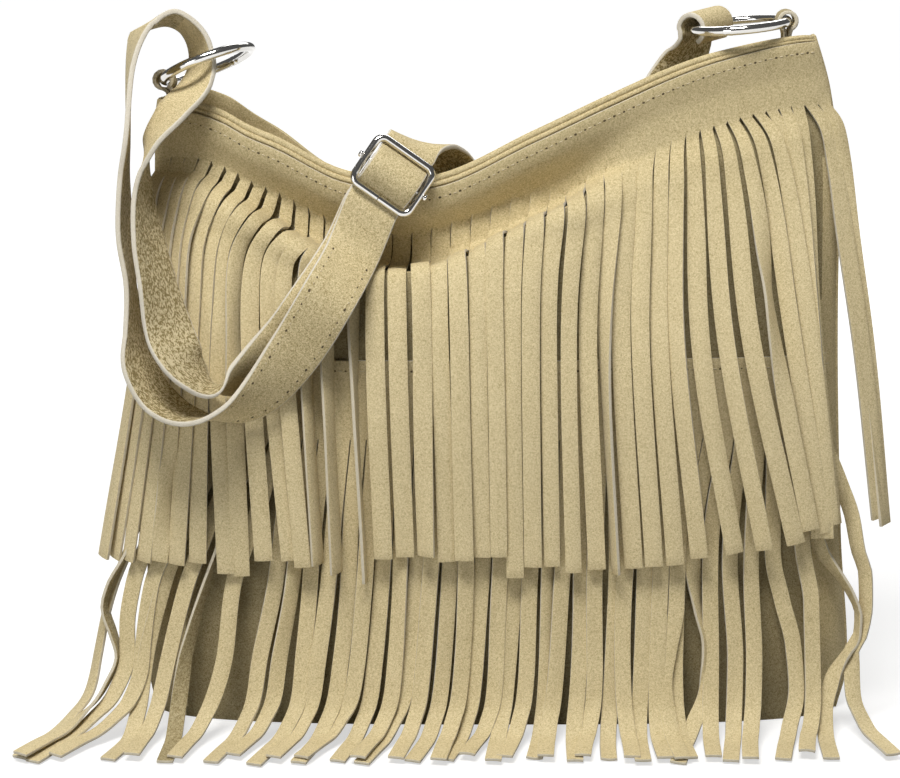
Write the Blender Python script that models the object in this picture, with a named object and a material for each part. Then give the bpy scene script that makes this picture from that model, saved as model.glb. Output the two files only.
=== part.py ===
# Suede shoulder bag with two tiers of fringe, standing on its base with the strap laid over its front.
# Metres, +Z up, the front faces -Y. The origin is on the floor under the middle of the base.
import math

import bpy
import bmesh
from mathutils import Vector

for old in list(bpy.data.objects):
    bpy.data.objects.remove(old)

MM = 0.001
GAP = 0.3 * MM  # between pieces that touch

# Leather thicknesses
PANEL_THICK = 1.4 * MM
FACING_THICK = 1.2 * MM
FRINGE_THICK = 1.3 * MM
STRAP_THICK = 2.2 * MM
TAB_THICK = 1.6 * MM
BASE_THICK = 2.0 * MM

# Body outline, in millimetres: height and distance out from the middle, for each side seam
LEFT_SIDE = [(0, 150), (20, 153), (120, 150), (200, 146), (262, 143), (275, 141)]
RIGHT_SIDE = [(0, 152), (20, 156), (80, 151), (180, 146), (240, 145), (272, 140), (300, 131)]
# Cut top edge of the upper fringe piece, a sagging V: across and up
YOKE_EDGE = [(-143, 264), (-128, 264), (-115, 260), (-104, 254), (-92, 249), (-63, 235), (-40, 231),
             (-26, 233), (16, 252), (47, 266.5), (92, 285), (125, 292.5), (132, 293)]
# How far the folded edge of the body stands above that cut edge
FOLD_RISE = [(-143, 5), (60, 5), (120, 2.8), (132, 2.5)]
# The back edge sits higher than the front one at the slouched left end, and lower elsewhere
BACK_RISE = [(-143, -0.5), (-125, 3.5), (-115, 4), (-95, 1), (-70, -4), (132, -3)]

# Half depth of the body: distance down from the cut top edge, and depth, where the top sags into a fold
FOLDED_WALL = [(-6, 13), (0, 13), (9, 11.3), (17, 11), (25, 14), (34, 22), (44, 28.5), (60, 32.5), (110, 33)]
# The same where the wall hangs smooth
SMOOTH_WALL = [(-6, 9.5), (0, 9.5), (15, 10.5), (40, 16), (80, 24), (130, 31), (180, 33)]
# Where along the front the fold lies: across, and its share
FOLD_SHARE = [(-143, 0.5), (-90, 1), (-10, 1), (60, 0), (132, 0)]
BACK_FOLD_SHARE = 0.15
BASE_DEPTH = 60 * MM
BASE_BLEND = 55 * MM  # height over which the walls come down to the base
PLAN_POWER = 3.0  # how square the body is in plan
MOUTH_POWER = 6.0
MOUTH_BLEND = 45 * MM
BODY_COLUMNS = 29
FOLD_ROWS = [6, 12, 18, 23, 28, 33, 38, 45, 56]  # millimetres below the cut edge
FACING_SPAN = 0.93  # share of the body's width that the facings cover

# Upper fringe piece
STRIPS = 38
SLIT_WIDTH = 0.5 * MM
CREASE_BRIDGE = 1.2 * MM  # how far the strips stand off where they bridge the fold
FRINGE_GAP = 0.7 * MM  # between the body and the fringe sewn over it
UPPER_SPAN = 0.965  # share of the body's width that the piece covers
UPPER_STAND = 7.4 * MM  # how far further the strips stand off at the height of the lower piece
SLIT_TOP = [(-143, 19), (-60, 18), (-20, 17), (12, 23), (50, 28), (132, 26)]
UPPER_TIP_HEIGHT = [(-143, 73), (-60, 74), (0, 73), (70, 75), (105, 80), (132, 86)]
UPPER_LEAN = [(-143, -15), (-95, -15), (-40, -8), (0, -4), (30, 2), (60, 14), (85, 22), (105, 19), (125, 13),
              (142, 20)]
LEAN_EARLY = 0.6  # share of its lean that a strip takes near its slit
LEAN_BY = 0.28  # share of its fall by which it has
LEAN_CARRY = 0.5  # how much of its own depth a leaning strip keeps
LAYER = 1.8 * MM  # neighbouring strips hang this far in front of and behind each other

# Lower fringe piece
SEAM_HEIGHT = 163 * MM
BAND_HEIGHT = 34 * MM
LOWER_LEAN = [(-150, -48), (-125, -40), (-95, -28), (-50, -16), (0, -9), (60, -4), (110, 2), (150, 14)]
# Side view of its strips in millimetres: forward, height, and the share of the lean reached
LOWER_PATH = [(0, 129, 0), (0.4, 100, 0.07), (2, 64, 0.2), (7, 31, 0.42), (15, 10, 0.64), (26, 2.1, 0.83),
              (43, 1.2, 1)]
FLOOR_STRAIGHTEN = 0.6  # how far the tips line up instead of following the body's curve
LYING_HEIGHT = 31 * MM
LOWER_SPAN = 0.95

# Rings
RING_RADIUS = 19.3 * MM
RING_WIRE = 4.0 * MM
LEFT_RING = Vector((-121.4, 0, 283.0)) * MM
RIGHT_RING = Vector((102.0, 1.0, 299.2)) * MM
LEFT_RING_TILT = math.radians(21)
RIGHT_RING_TILT = math.radians(5.8)
LEFT_RING_LIFT = math.radians(12.5)  # how far each ring's front rises
RIGHT_RING_LIFT = math.radians(-1.5)
RING_STEPS = 40
STRAP_ON_RING = math.radians(142)  # where round the right ring the strap's end is lapped

# Corner tabs
TAB_WIDTH = 9.0 * MM
TAB_EASE = 0.6 * MM  # slack round the ring's wire
TAB_INSET = 4.5 * MM
TAB_DEPTH = 12 * MM

# Strap and buckle
STRAP_WIDTH = 23 * MM
BUCKLE_WIRE = 3.2 * MM
BUCKLE_LENGTH = 25.6 * MM
BUCKLE_SIDE_GAP = 0.6 * MM
BUCKLE_CORNER = 3.6 * MM
BUTT_GAP = 0.4 * MM
PIN_WIDTH = 2.6 * MM
PIN_TENON = 1.4 * MM
PIN_CLEARANCE = 0.2 * MM
PIN_HEAD = 3.0 * MM
PIN_HEAD_LENGTH = 1.3 * MM
BUCKLE_CENTRE = Vector((-43.1, -26.5, 239.5)) * MM
STRAP_STEP = 5 * MM
STRAP_SIDE_SHARE = 0.8  # beyond this share of the body's width the strap goes on level

# How the strap is laid, in millimetres: across, height, distance off the leather behind it, and the way of
# its width. First from the right ring down the back and up to the mouth
BACK_ROUTE = [
    (82, 286, 6.5, (-0.7, -0.6, 0.3)), (76, 274, 6, (-0.9, -0.3, 0.4)), (66, 258, 5, (-0.8, -0.1, 0.6)),
    (52, 237, 4.5, (-0.8, -0.1, 0.6)), (34, 217, 4, (-0.6, -0.1, 0.8)), (12, 208, 4, (-0.1, -0.2, 1)),
    (-8, 217, 4.5, (0.5, -0.1, 0.8)), (-19, 235, 3.5, (0.9, -0.1, 0.5))]
# Then over the mouth to the buckle, where the third number is measured from the middle of the bag
CROSSING = [
    (-26, 245.5, 6, (0.9, -0.4, 0.2)), (-31, 249.5, -3, (0.9, -0.4, -0.1)),
    (-34.5, 251, -11, (0.9, -0.2, -0.4))]
# Then down the front, round the hanging loop and up to its bend at the left
OUTER_LEG = [
    (-60, 208, 16, (0.8, 0, -0.6)), (-68, 195, 12, (0.8, 0, -0.6)), (-82, 172, 9, (0.8, 0.2, -0.5)),
    (-98, 152, 12, (0.5, 0.6, -0.6)), (-114, 144, 17, (0.2, 0.9, -0.3)), (-129, 144, 17, (0.1, 1, 0.1)),
    (-140, 150, 12, (0.3, 0.9, 0.2)), (-147, 161, 9, (0.4, 0.9, 0.1)), (-150, 175, 4, (0.2, 1, 0)),
    (-152, 195, 1.5, (0, 1, 0)), (-154, 216, 1.5, (0.1, 1, 0)), (-154, 240, 9.5, (0, 1, 0)),
    (-152, 258, 3.5, (-0.1, 1, 0)), (-151, 282, -4, (-0.2, 1, 0))]
# Then through the left ring, and down and up again behind the outer leg
INNER_LEG = [
    (-148, 296, -10, (-0.3, 0.9, 0)), (-144, 300, -14, (-0.3, 0.9, -0.2)),
    (-136, 302.5, -18.5, (-0.3, 0.9, -0.3)), (-129, 299, -20, (-0.4, 0.9, -0.2)),
    (-124.5, 292, -20, (-0.5, 0.9, -0.1)), (-123.5, 284, -18.5, (-0.5, 0.9, 0)),
    (-126, 275.5, -12, (-0.5, 0.9, 0.1)), (-133.5, 265.5, 1, (-0.4, 0.9, 0.2)),
    (-141.5, 254.5, 8, (-0.3, 1, 0.1)), (-145, 243, 13, (0, 1, 0)), (-145.5, 231, 12, (0.2, 1, 0)),
    (-143, 213, 8.5, (0.4, 0.9, 0)), (-139, 196, 12, (0.5, 0.8, 0)), (-135, 180, 15, (0.7, 0.7, 0.1)),
    (-130.5, 170.5, 19, (0.6, 0.7, 0.2)), (-124.5, 162, 19, (0.4, 0.9, 0.1)),
    (-115, 155.5, 15, (0.3, 0.9, -0.2)), (-103, 160.5, 9.5, (0.5, 0.7, -0.5)),
    (-86.5, 174, 5, (0.8, 0.2, -0.6)), (-75.5, 188.5, 5.5, (0.8, 0, -0.6)),
    (-61.5, 208, 11.5, (0.8, 0, -0.6))]

SHARP_ANGLE = math.radians(40)
SUEDE = (0.62, 0.53, 0.34, 1)
NICKEL = (0.75, 0.74, 0.71, 1)


def smooth_value(points, at):
    """Reads a value from a short list of points, on a curve that doesn't overshoot them."""
    if at <= points[0][0]:
        return points[0][1]
    if at >= points[-1][0]:
        return points[-1][1]
    count = len(points)
    slopes = [(points[i + 1][1] - points[i][1]) / (points[i + 1][0] - points[i][0]) for i in range(count - 1)]
    i = max(k for k in range(count - 1) if points[k][0] <= at)

    def tangent(k):
        if k == 0 or k == count - 1:
            return slopes[min(k, count - 2)]
        before, after = slopes[k - 1], slopes[k]
        return 0 if before * after <= 0 else 2 * before * after / (before + after)

    width = points[i + 1][0] - points[i][0]
    t = (at - points[i][0]) / width
    start, end = points[i][1], points[i + 1][1]
    rise_in, rise_out = tangent(i) * width, tangent(i + 1) * width
    return (start * (2 * t**3 - 3 * t**2 + 1) + rise_in * (t**3 - 2 * t**2 + t)
            + end * (3 * t**2 - 2 * t**3) + rise_out * (t**3 - t**2))


def ease(t):
    t = min(max(t, 0), 1)
    return t * t * (3 - 2 * t)


def mix(a, b, t):
    return a + (b - a) * t


# The body's surface

def side_left(z):
    return -smooth_value(LEFT_SIDE, z / MM) * MM


def side_right(z):
    return smooth_value(RIGHT_SIDE, z / MM) * MM


def edge_height(x):
    return smooth_value(YOKE_EDGE, x / MM) * MM


def fold_height(x, back):
    rise = smooth_value(BACK_RISE, x / MM) if back else 0
    return edge_height(x) + (smooth_value(FOLD_RISE, x / MM) + rise) * MM


def wall_depth(x, z, back):
    """Half depth of the body at a place on the front or the back wall."""
    drop = edge_height(x) - z
    share = BACK_FOLD_SHARE if back else smooth_value(FOLD_SHARE, x / MM)
    depth = mix(smooth_value(SMOOTH_WALL, drop / MM), smooth_value(FOLDED_WALL, drop / MM), share) * MM
    depth = mix(BASE_DEPTH / 2, depth, ease(z / BASE_BLEND))
    left, right = side_left(z), side_right(z)
    across = abs((2 * x - left - right) / (right - left))
    power = mix(MOUTH_POWER, PLAN_POWER, ease(drop / MOUTH_BLEND))
    return depth * max(0, 1 - min(across, 1) ** power) ** (1 / power)


def wall_point(x, z, out, back=False):
    """A point that stands out from the wall, square to it, by the distance out."""
    way = 1 if back else -1
    step = 0.5 * MM

    def place(px, pz):
        return Vector((px, way * (GAP / 2 + wall_depth(px, pz, back)), pz))

    inner = side_left(z) + step
    outer = side_right(z) - step
    px = min(max(x, inner + step), outer - step)
    across = place(px + step, z) - place(px - step, z)
    upward = place(px, z + step) - place(px, z - step)
    normal = across.cross(upward).normalized() * (-1 if back else 1)
    return place(px, z) + normal * out + Vector((x - px, 0, 0))


# Building

def material(name, colour, roughness, metallic):
    made = bpy.data.materials.new(name)
    made.use_nodes = True
    shader = made.node_tree.nodes["Principled BSDF"]
    shader.inputs["Base Color"].default_value = colour
    shader.inputs["Roughness"].default_value = roughness
    shader.inputs["Metallic"].default_value = metallic
    return made


def add_object(name, bm, colour=SUEDE, roughness=0.9, metallic=0.0):
    mesh = bpy.data.meshes.new(name)
    bmesh.ops.recalc_face_normals(bm, faces=bm.faces)
    bm.to_mesh(mesh)
    bm.free()
    mesh.shade_smooth()
    mesh.set_sharp_from_angle(angle=SHARP_ANGLE)
    made = bpy.data.objects.new(name, mesh)
    bpy.context.collection.objects.link(made)
    mesh.materials.append(material(name, colour, roughness, metallic))
    return made


def thick_sheet(name, points, faces, thickness, set_normals=None):
    """A closed sheet of leather, grown both ways from the middle surface that the faces give."""
    bm = bmesh.new()
    verts = [bm.verts.new(p) for p in points]
    for face in faces:
        bm.faces.new([verts[k] for k in face])
    bmesh.ops.recalc_face_normals(bm, faces=bm.faces)
    bm.normal_update()
    normals = [v.normal.copy() for v in bm.verts]
    for k, normal in (set_normals or {}).items():
        normals[k] = normal * math.copysign(1, normal.dot(normals[k]))
    edges = [e for e in bm.edges if e.is_boundary]
    rims = []
    for edge in edges:
        loop = edge.link_loops[0]
        rims.append((loop.vert.index, loop.link_loop_next.vert.index))
    quads = [[v.index for v in face.verts] for face in bm.faces]
    bm.free()
    solid = bmesh.new()
    outer = [solid.verts.new(Vector(p) + n * thickness / 2) for p, n in zip(points, normals)]
    inner = [solid.verts.new(Vector(p) - n * thickness / 2) for p, n in zip(points, normals)]
    for quad in quads:
        solid.faces.new([outer[k] for k in quad])
        solid.faces.new([inner[k] for k in reversed(quad)])
    for a, b in rims:
        solid.faces.new([outer[b], outer[a], inner[a], inner[b]])
    return add_object(name, solid)


def grid_faces(rows, columns):
    return [(r * columns + c, r * columns + c + 1, (r + 1) * columns + c + 1, (r + 1) * columns + c)
            for r in range(rows - 1) for c in range(columns - 1)]


def tube(path, radius, sides, closed, start=Vector((0, 1, 0))):
    """A round wire along a path, closed on itself or capped, as a bmesh."""
    bm = bmesh.new()
    count = len(path)
    rings = []
    normal = start
    for k, point in enumerate(path):
        before = path[(k - 1) % count] if closed or k > 0 else point
        after = path[(k + 1) % count] if closed or k < count - 1 else point
        along = (after - before).normalized()
        normal = (normal - along * normal.dot(along)).normalized()
        other = along.cross(normal)
        rings.append([bm.verts.new(point + (normal * math.cos(a) + other * math.sin(a)) * radius)
                      for a in (2 * math.pi * j / sides for j in range(sides))])
    for k in range(count if closed else count - 1):
        first, second = rings[k], rings[(k + 1) % count]
        for j in range(sides):
            bm.faces.new([first[j], first[(j + 1) % sides], second[(j + 1) % sides], second[j]])
    if not closed:
        bm.faces.new(list(reversed(rings[0])))
        bm.faces.new(rings[-1])
    return bm


def ribbon(name, stations, width, thickness):
    """A flat band through stations, each a centre and the direction of the band's width."""
    bm = bmesh.new()
    sections = []
    count = len(stations)
    for k, (centre, across) in enumerate(stations):
        along = (stations[min(k + 1, count - 1)][0] - stations[max(k - 1, 0)][0]).normalized()
        side = (across - along * across.dot(along)).normalized() * width / 2
        face = along.cross(side).normalized() * thickness / 2
        sections.append([bm.verts.new(centre + corner) for corner in
                         (side + face, face - side, -side - face, side - face)])
    for (a, b, c, d), (e, f, g, h) in zip(sections, sections[1:]):
        for corners in ((a, b, f), (a, f, e), (b, c, g, f), (c, d, g), (d, h, g), (d, a, e, h)):
            bm.faces.new(corners)
    bm.faces.new(list(reversed(sections[0])))
    bm.faces.new(sections[-1])
    return add_object(name, bm)


def smooth_route(stations, spacing):
    """Reads stations off a smooth curve through the given ones, about evenly spaced."""
    made = []
    last = len(stations) - 1
    for k in range(last):
        four = [stations[min(max(j, 0), last)] for j in (k - 1, k, k + 1, k + 2)]
        steps = max(1, round((four[2][0] - four[1][0]).length / spacing))
        for s in range(steps):
            t = s / steps
            made.append(tuple(
                0.5 * (2 * b + (c - a) * t + (2 * a - 5 * b + 4 * c - d) * t**2
                       + (3 * b - a - 3 * c + d) * t**3)
                for a, b, c, d in zip(*four)))
    made.append(stations[-1])
    return made


# Body

def across_at(z, share):
    left, right = side_left(z), side_right(z)
    return (left + right) / 2 + share * (right - left) / 2


def body_shares():
    """Shares of the body's width for its columns, closer together towards the side seams."""
    return [math.sin(math.pi * (k / (BODY_COLUMNS - 1) - 0.5)) for k in range(BODY_COLUMNS)]


def body_drops(x, back):
    """Depths below the cut edge at which the body has a row: close together over the fold."""
    top = (edge_height(x) - fold_height(x, back)) / MM
    bottom = (edge_height(x) - GAP) / MM
    lower = [mix(FOLD_ROWS[-1], bottom, t) for t in (0.2, 0.42, 0.64, 0.82, 0.94, 1)]
    return [d * MM for d in [top, (top + FOLD_ROWS[0]) / 2] + FOLD_ROWS + lower]


def body_place(share, row, back):
    """Where a row crosses a share of the body's width, found by a few steps since the sides slope."""
    x = across_at(edge_height(0), share)
    for _ in range(4):
        z = edge_height(x) - body_drops(x, back)[row]
        x = across_at(z, share)
    return x, z


def body_panel(name, back):
    """One wall of the body, from its folded top edge down to the base."""
    rows = len(body_drops(0, back))
    points = []
    set_normals = {}  # the side edges grow straight out, so that the seam's gap stays even
    for row in range(rows):
        for share in body_shares():
            x, z = body_place(share, row, back)
            side = round(share, 6)
            if abs(side) < 1:
                points.append(wall_point(x, z, -PANEL_THICK / 2, back))
            else:
                set_normals[len(points)] = Vector((side, 0, 0))
                points.append(Vector((x - side * PANEL_THICK / 2, (1 if back else -1) * GAP / 2, z)))
    faces = grid_faces(rows, BODY_COLUMNS)
    return thick_sheet(name, points, faces, PANEL_THICK, set_normals)


def mouth_facing(name, back):
    """The strip sewn inside the mouth, whose folded edge shows just behind the body's."""
    shares = [share for share in body_shares() if abs(share) < FACING_SPAN]
    rows = 5
    depth = PANEL_THICK + GAP + FACING_THICK / 2
    points = [wall_point(*body_place(share, row, back), -depth, back)
              for row in range(rows) for share in shares]
    return thick_sheet(name, points, grid_faces(rows, len(shares)), FACING_THICK)


def base_panel():
    """The flat oval bottom, let in between the two walls."""
    shares = body_shares()[2:-2]
    inset = PANEL_THICK + 2 * GAP
    rim = [wall_point(across_at(BASE_THICK, share), BASE_THICK, -inset) for share in shares]
    rim.append(Vector((side_right(0) - inset, 0, 0)))
    rim += [wall_point(across_at(BASE_THICK, share), BASE_THICK, -inset, True) for share in reversed(shares)]
    rim.append(Vector((side_left(0) + inset, 0, 0)))
    bm = bmesh.new()
    face = bm.faces.new([bm.verts.new((p.x, p.y, 0)) for p in rim])
    grown = bmesh.ops.extrude_face_region(bm, geom=[face])
    lifted = [v for v in grown["geom"] if isinstance(v, bmesh.types.BMVert)]
    bmesh.ops.translate(bm, verts=lifted, vec=(0, 0, BASE_THICK))
    return add_object("base_panel", bm)


# Fringe

def fringe_faces(band_rows, strip_rows, strips):
    """Faces of a band that is slit into strips below its last row."""
    columns = 2 * strips
    faces = grid_faces(band_rows, columns)
    for r in range(band_rows - 1, band_rows + strip_rows - 1):
        for s in range(strips):
            a = r * columns + 2 * s
            faces.append((a, a + 1, a + 1 + columns, a + columns))
    return faces


def strip_layer(s):
    return s % 2


def upper_share(s, edge):
    """Share of the body's width at a strip's edge, which leaves half a slit beside it."""
    slit = SLIT_WIDTH * STRIPS / (side_right(SEAM_HEIGHT) - side_left(SEAM_HEIGHT))
    return UPPER_SPAN * (2 * (s + 0.5 + edge * (0.5 - slit / 2)) / STRIPS - 1)


def band_place(share, portion):
    """Across and height of a place on the uncut band: portion 0 at the cut edge, 1 where the slits start."""
    x = across_at(edge_height(0), share)
    for _ in range(4):
        z = edge_height(x) - smooth_value(SLIT_TOP, x / MM) * MM * portion
        x = across_at(z, share)
    return x, z


def upper_point(s, edge, fall):
    """A point on the edge of a hanging strip, after a share of its fall from slit to tip."""
    root_x, root_z = band_place(upper_share(s, 0), 1)
    edge_x, _ = band_place(upper_share(s, edge), 1)
    z = mix(root_z, smooth_value(UPPER_TIP_HEIGHT, root_x / MM) * MM, fall)
    lean = smooth_value(UPPER_LEAN, root_x / MM) * MM
    x = edge_x + lean * mix(fall, ease(fall / LEAN_BY), LEAN_EARLY)
    stand = UPPER_STAND * ease((root_z - z) / (root_z - SEAM_HEIGHT + BAND_HEIGHT))
    stand += CREASE_BRIDGE * math.sin(math.pi * min(fall / 0.25, 1))
    out = FRINGE_GAP + FRINGE_THICK / 2 + strip_layer(s) * LAYER * ease(fall / 0.1)
    wall_z = max(z, SEAM_HEIGHT - 2 * BAND_HEIGHT)
    behind = mix(x, edge_x, LEAN_CARRY * ease(fall / 0.5))
    on_wall = min(max(behind, across_at(wall_z, -UPPER_SPAN)), across_at(wall_z, UPPER_SPAN))
    point = wall_point(on_wall, wall_z, out)
    return Vector((point.x + x - on_wall, point.y - stand, z))


def upper_fringe():
    band = [0, 0.35, 0.7]
    falls = [0, 0.035, 0.07, 0.1, 0.135, 0.18, 0.25, 0.4, 0.7, 1]
    edges = [(s, edge) for s in range(STRIPS) for edge in (-1, 1)]
    middle = FRINGE_GAP + FRINGE_THICK / 2
    points = [wall_point(*band_place(upper_share(s, edge), t), middle) for t in band for s, edge in edges]
    points += [upper_point(s, edge, fall) for fall in falls for s, edge in edges]
    faces = fringe_faces(len(band) + 1, len(falls) - 1, STRIPS)
    return thick_sheet("upper_fringe", points, faces, FRINGE_THICK)


def lower_fringe():
    """The lower piece, whose strips hang, then run forward and outward over the floor."""
    edges = [(s, edge) for s in range(STRIPS) for edge in (-1, 1)]
    middle = FRINGE_GAP + FRINGE_THICK / 2
    root_z = SEAM_HEIGHT - BAND_HEIGHT
    pitch = LOWER_SPAN * (side_right(root_z) - side_left(root_z)) / STRIPS
    points = []
    for z in (SEAM_HEIGHT, SEAM_HEIGHT - BAND_HEIGHT / 2, root_z):
        for s, edge in edges:
            share = LOWER_SPAN * (2 * (s + 0.5 + edge * 0.5 * (1 - SLIT_WIDTH / pitch)) / STRIPS - 1)
            points.append(wall_point(across_at(z, share), z, middle))
    for k in range(1, len(LOWER_PATH)):
        forward, z, spread = (v * MM for v in LOWER_PATH[k])
        before, after = LOWER_PATH[k - 1], LOWER_PATH[min(k + 1, len(LOWER_PATH) - 1)]
        along = Vector((after[0] - before[0], after[1] - before[1])).normalized()
        straighten = FLOOR_STRAIGHTEN * ease(1 - z / LYING_HEIGHT)
        for s, edge in edges:
            root_x = across_at(root_z, LOWER_SPAN * ((2 * s + 1) / STRIPS - 1))
            lift = strip_layer(s) * LAYER * min(1, k / 2)
            stand = wall_point(root_x + edge * (pitch - SLIT_WIDTH) / 2, max(z, BASE_BLEND), middle)
            y = mix(stand.y, -BASE_DEPTH / 2, straighten) - forward + lift * along.y
            x = stand.x + smooth_value(LOWER_LEAN, root_x / MM) * spread
            points.append(Vector((x, y, z + lift * along.x)))
    return thick_sheet("lower_fringe", points, fringe_faces(3, len(LOWER_PATH) - 1, STRIPS), FRINGE_THICK)


# Rings and tabs

def ring_axes(tilt, lift):
    """The ring's long direction, its way to the front, and the axis it turns about."""
    long_way = Vector((math.cos(tilt), 0, math.sin(tilt)))
    front = Vector((0, -math.cos(lift), math.sin(lift)))
    front = (front - long_way * front.dot(long_way)).normalized()
    return long_way, front, long_way.cross(front)


def ring(name, centre, tilt, lift):
    long_way, front, axis = ring_axes(tilt, lift)
    path = [(long_way * math.cos(a) + front * math.sin(a)) * RING_RADIUS
            for a in (2 * math.pi * k / RING_STEPS for k in range(RING_STEPS))]
    made = add_object(name, tube(path, RING_WIRE / 2, 10, True, axis), NICKEL, 0.15, 1.0)
    made.location = centre
    return made


def corner_tab(name, centre, tilt, lift, end):
    """A loop of suede round the outer end of a ring, whose two ends go down into the bag's corner."""
    long_way, front, _ = ring_axes(tilt, lift)
    wire = centre + long_way * RING_RADIUS * end
    loop = (RING_WIRE + TAB_THICK) / 2 + GAP + TAB_EASE
    leg = (TAB_THICK + GAP) / 2
    corner = side_left(wire.z) if end < 0 else side_right(wire.z)
    foot_x = corner - end * max(abs(corner) - abs(wire.x), TAB_INSET)
    foot_z = fold_height(foot_x, False) - TAB_DEPTH
    path = [(foot_x + leg, foot_z), (foot_x + leg, wire.z - 1.5 * loop)]
    for k in range(13):
        angle = math.radians(-54 + 24 * k)
        path.append((wire.x + math.cos(angle) * loop, wire.z + math.sin(angle) * loop))
    path += [(foot_x - leg, wire.z - 1.5 * loop), (foot_x - leg, foot_z)]
    stops = [(Vector((x, centre.y, z)), -front if z > wire.z - loop else Vector((0, 1, 0))) for x, z in path]
    return ribbon(name, stops, TAB_WIDTH, TAB_THICK)


# Buckle

def buckle_axes():
    """Along the strap, across it, and out of its face."""
    along = Vector((0.55, 0.30, 0.78)).normalized()
    across = Vector((0.82, 0, -0.57))
    across = (across - along * across.dot(along)).normalized()
    return along, across, across.cross(along).normalized()


def buckle_half_width():
    return STRAP_WIDTH / 2 + BUCKLE_SIDE_GAP + BUCKLE_WIRE / 2


def buckle_frame():
    """A wire bent into a rounded rectangle, butted in the middle of its lower bar, drilled for the pin."""
    along, across, out = buckle_axes()
    half_width = buckle_half_width()
    half_length = (BUCKLE_LENGTH - BUCKLE_WIRE) / 2
    corner = BUCKLE_CORNER
    path = [across * (BUTT_GAP / 2) - along * half_length]
    for sx, sy, start in ((1, -1, -90), (1, 1, 0), (-1, 1, 90), (-1, -1, 180)):
        middle = across * sx * (half_width - corner) + along * sy * (half_length - corner)
        for k in range(6):
            angle = math.radians(start + 18 * k)
            path.append(middle + (across * math.cos(angle) + along * math.sin(angle)) * corner)
    path.append(-across * (BUTT_GAP / 2) - along * half_length)
    made = add_object("buckle_frame", tube(path, BUCKLE_WIRE / 2, 8, False, out), NICKEL, 0.15, 1.0)
    made.location = BUCKLE_CENTRE
    reach = half_width + BUCKLE_WIRE
    hole = tube([-across * reach, across * reach], PIN_TENON / 2 + PIN_CLEARANCE, 12, False, out)
    cutter = add_object("pin_hole", hole, NICKEL)
    cutter.location = BUCKLE_CENTRE
    cutter.hide_render = True
    cutter.display_type = "WIRE"
    drilled = made.modifiers.new("pin hole", "BOOLEAN")
    drilled.operation = "DIFFERENCE"
    drilled.object = cutter
    return made


def buckle_pin():
    """The centre bar, thinner where it passes through the frame and headed outside it."""
    _, across, out = buckle_axes()
    half = buckle_half_width()
    inside = half - BUCKLE_WIRE / 2 - GAP
    outside = half + BUCKLE_WIRE / 2 + GAP
    steps = [(-outside - PIN_HEAD_LENGTH, PIN_HEAD * 0.6), (-outside - PIN_HEAD_LENGTH * 0.6, PIN_HEAD),
             (-outside, PIN_HEAD), (-outside, PIN_TENON), (-inside, PIN_TENON), (-inside, PIN_WIDTH),
             (inside, PIN_WIDTH), (inside, PIN_TENON), (outside, PIN_TENON), (outside, PIN_HEAD),
             (outside + PIN_HEAD_LENGTH * 0.6, PIN_HEAD), (outside + PIN_HEAD_LENGTH, PIN_HEAD * 0.6)]
    sides = 12
    bm = bmesh.new()
    other = across.cross(out)
    rings = []
    for place, width in steps:
        rings.append([bm.verts.new(across * place + (out * math.cos(a) + other * math.sin(a)) * width / 2)
                      for a in (2 * math.pi * j / sides for j in range(sides))])
    for first, second in zip(rings, rings[1:]):
        for j in range(sides):
            bm.faces.new([first[j], first[(j + 1) % sides], second[(j + 1) % sides], second[j]])
    bm.faces.new(list(reversed(rings[0])))
    bm.faces.new(rings[-1])
    made = add_object("buckle_pin", bm, NICKEL, 0.15, 1.0)
    made.location = BUCKLE_CENTRE
    return made


# Strap

def near_wall(x, z, stand, back=False):
    """A point that stands off the fringe, or off the back wall, and goes on level beyond the bag's sides."""
    share = (2 * x - side_left(z) - side_right(z)) / (side_right(z) - side_left(z))
    wall_x = across_at(z, min(max(share, -STRAP_SIDE_SHARE), STRAP_SIDE_SHARE))
    face = 0 if back else FRINGE_GAP + FRINGE_THICK + LAYER + UPPER_STAND
    return Vector((x, wall_point(wall_x, z, 0, back).y + (1 if back else -1) * (face + stand), z))


def strap_route():
    """The strap's whole route, each stop a centre and the direction of the strap's width."""
    route = ring_loop()
    for x, z, stand, way in BACK_ROUTE:
        route.append((near_wall(x * MM, z * MM, stand * MM + STRAP_THICK / 2, True), Vector(way)))
    for x, z, y, way in CROSSING:
        route.append((Vector((x, y, z)) * MM, Vector(way)))
    route += buckle_weave()
    for x, z, stand, way in OUTER_LEG + INNER_LEG:
        route.append((near_wall(x * MM, z * MM, stand * MM), Vector(way)))
    route += pin_loop()
    return route


def ring_loop():
    """The end of the strap, lapped round the rear left part of the right ring."""
    long_way, front, _ = ring_axes(RIGHT_RING_TILT, RIGHT_RING_LIFT)
    spoke = long_way * math.cos(STRAP_ON_RING) - front * math.sin(STRAP_ON_RING)
    width_way = -long_way * math.sin(STRAP_ON_RING) - front * math.cos(STRAP_ON_RING)
    slant = math.cos(math.asin(STRAP_WIDTH / 2 / RING_RADIUS))
    sagitta = RING_RADIUS * (1 - slant)
    loop = (RING_WIRE / slant + sagitta + STRAP_THICK) / 2 + 2 * GAP
    middle = RIGHT_RING + spoke * (RING_RADIUS - sagitta / 2)
    lift = width_way.cross(spoke).normalized()
    lift = lift if lift.z > 0 else -lift
    stops = []
    for degrees in range(-65, 215, 30):
        angle = math.radians(degrees)
        stops.append((middle + (-spoke * math.cos(angle) + lift * math.sin(angle)) * loop, width_way))
    return stops


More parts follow.
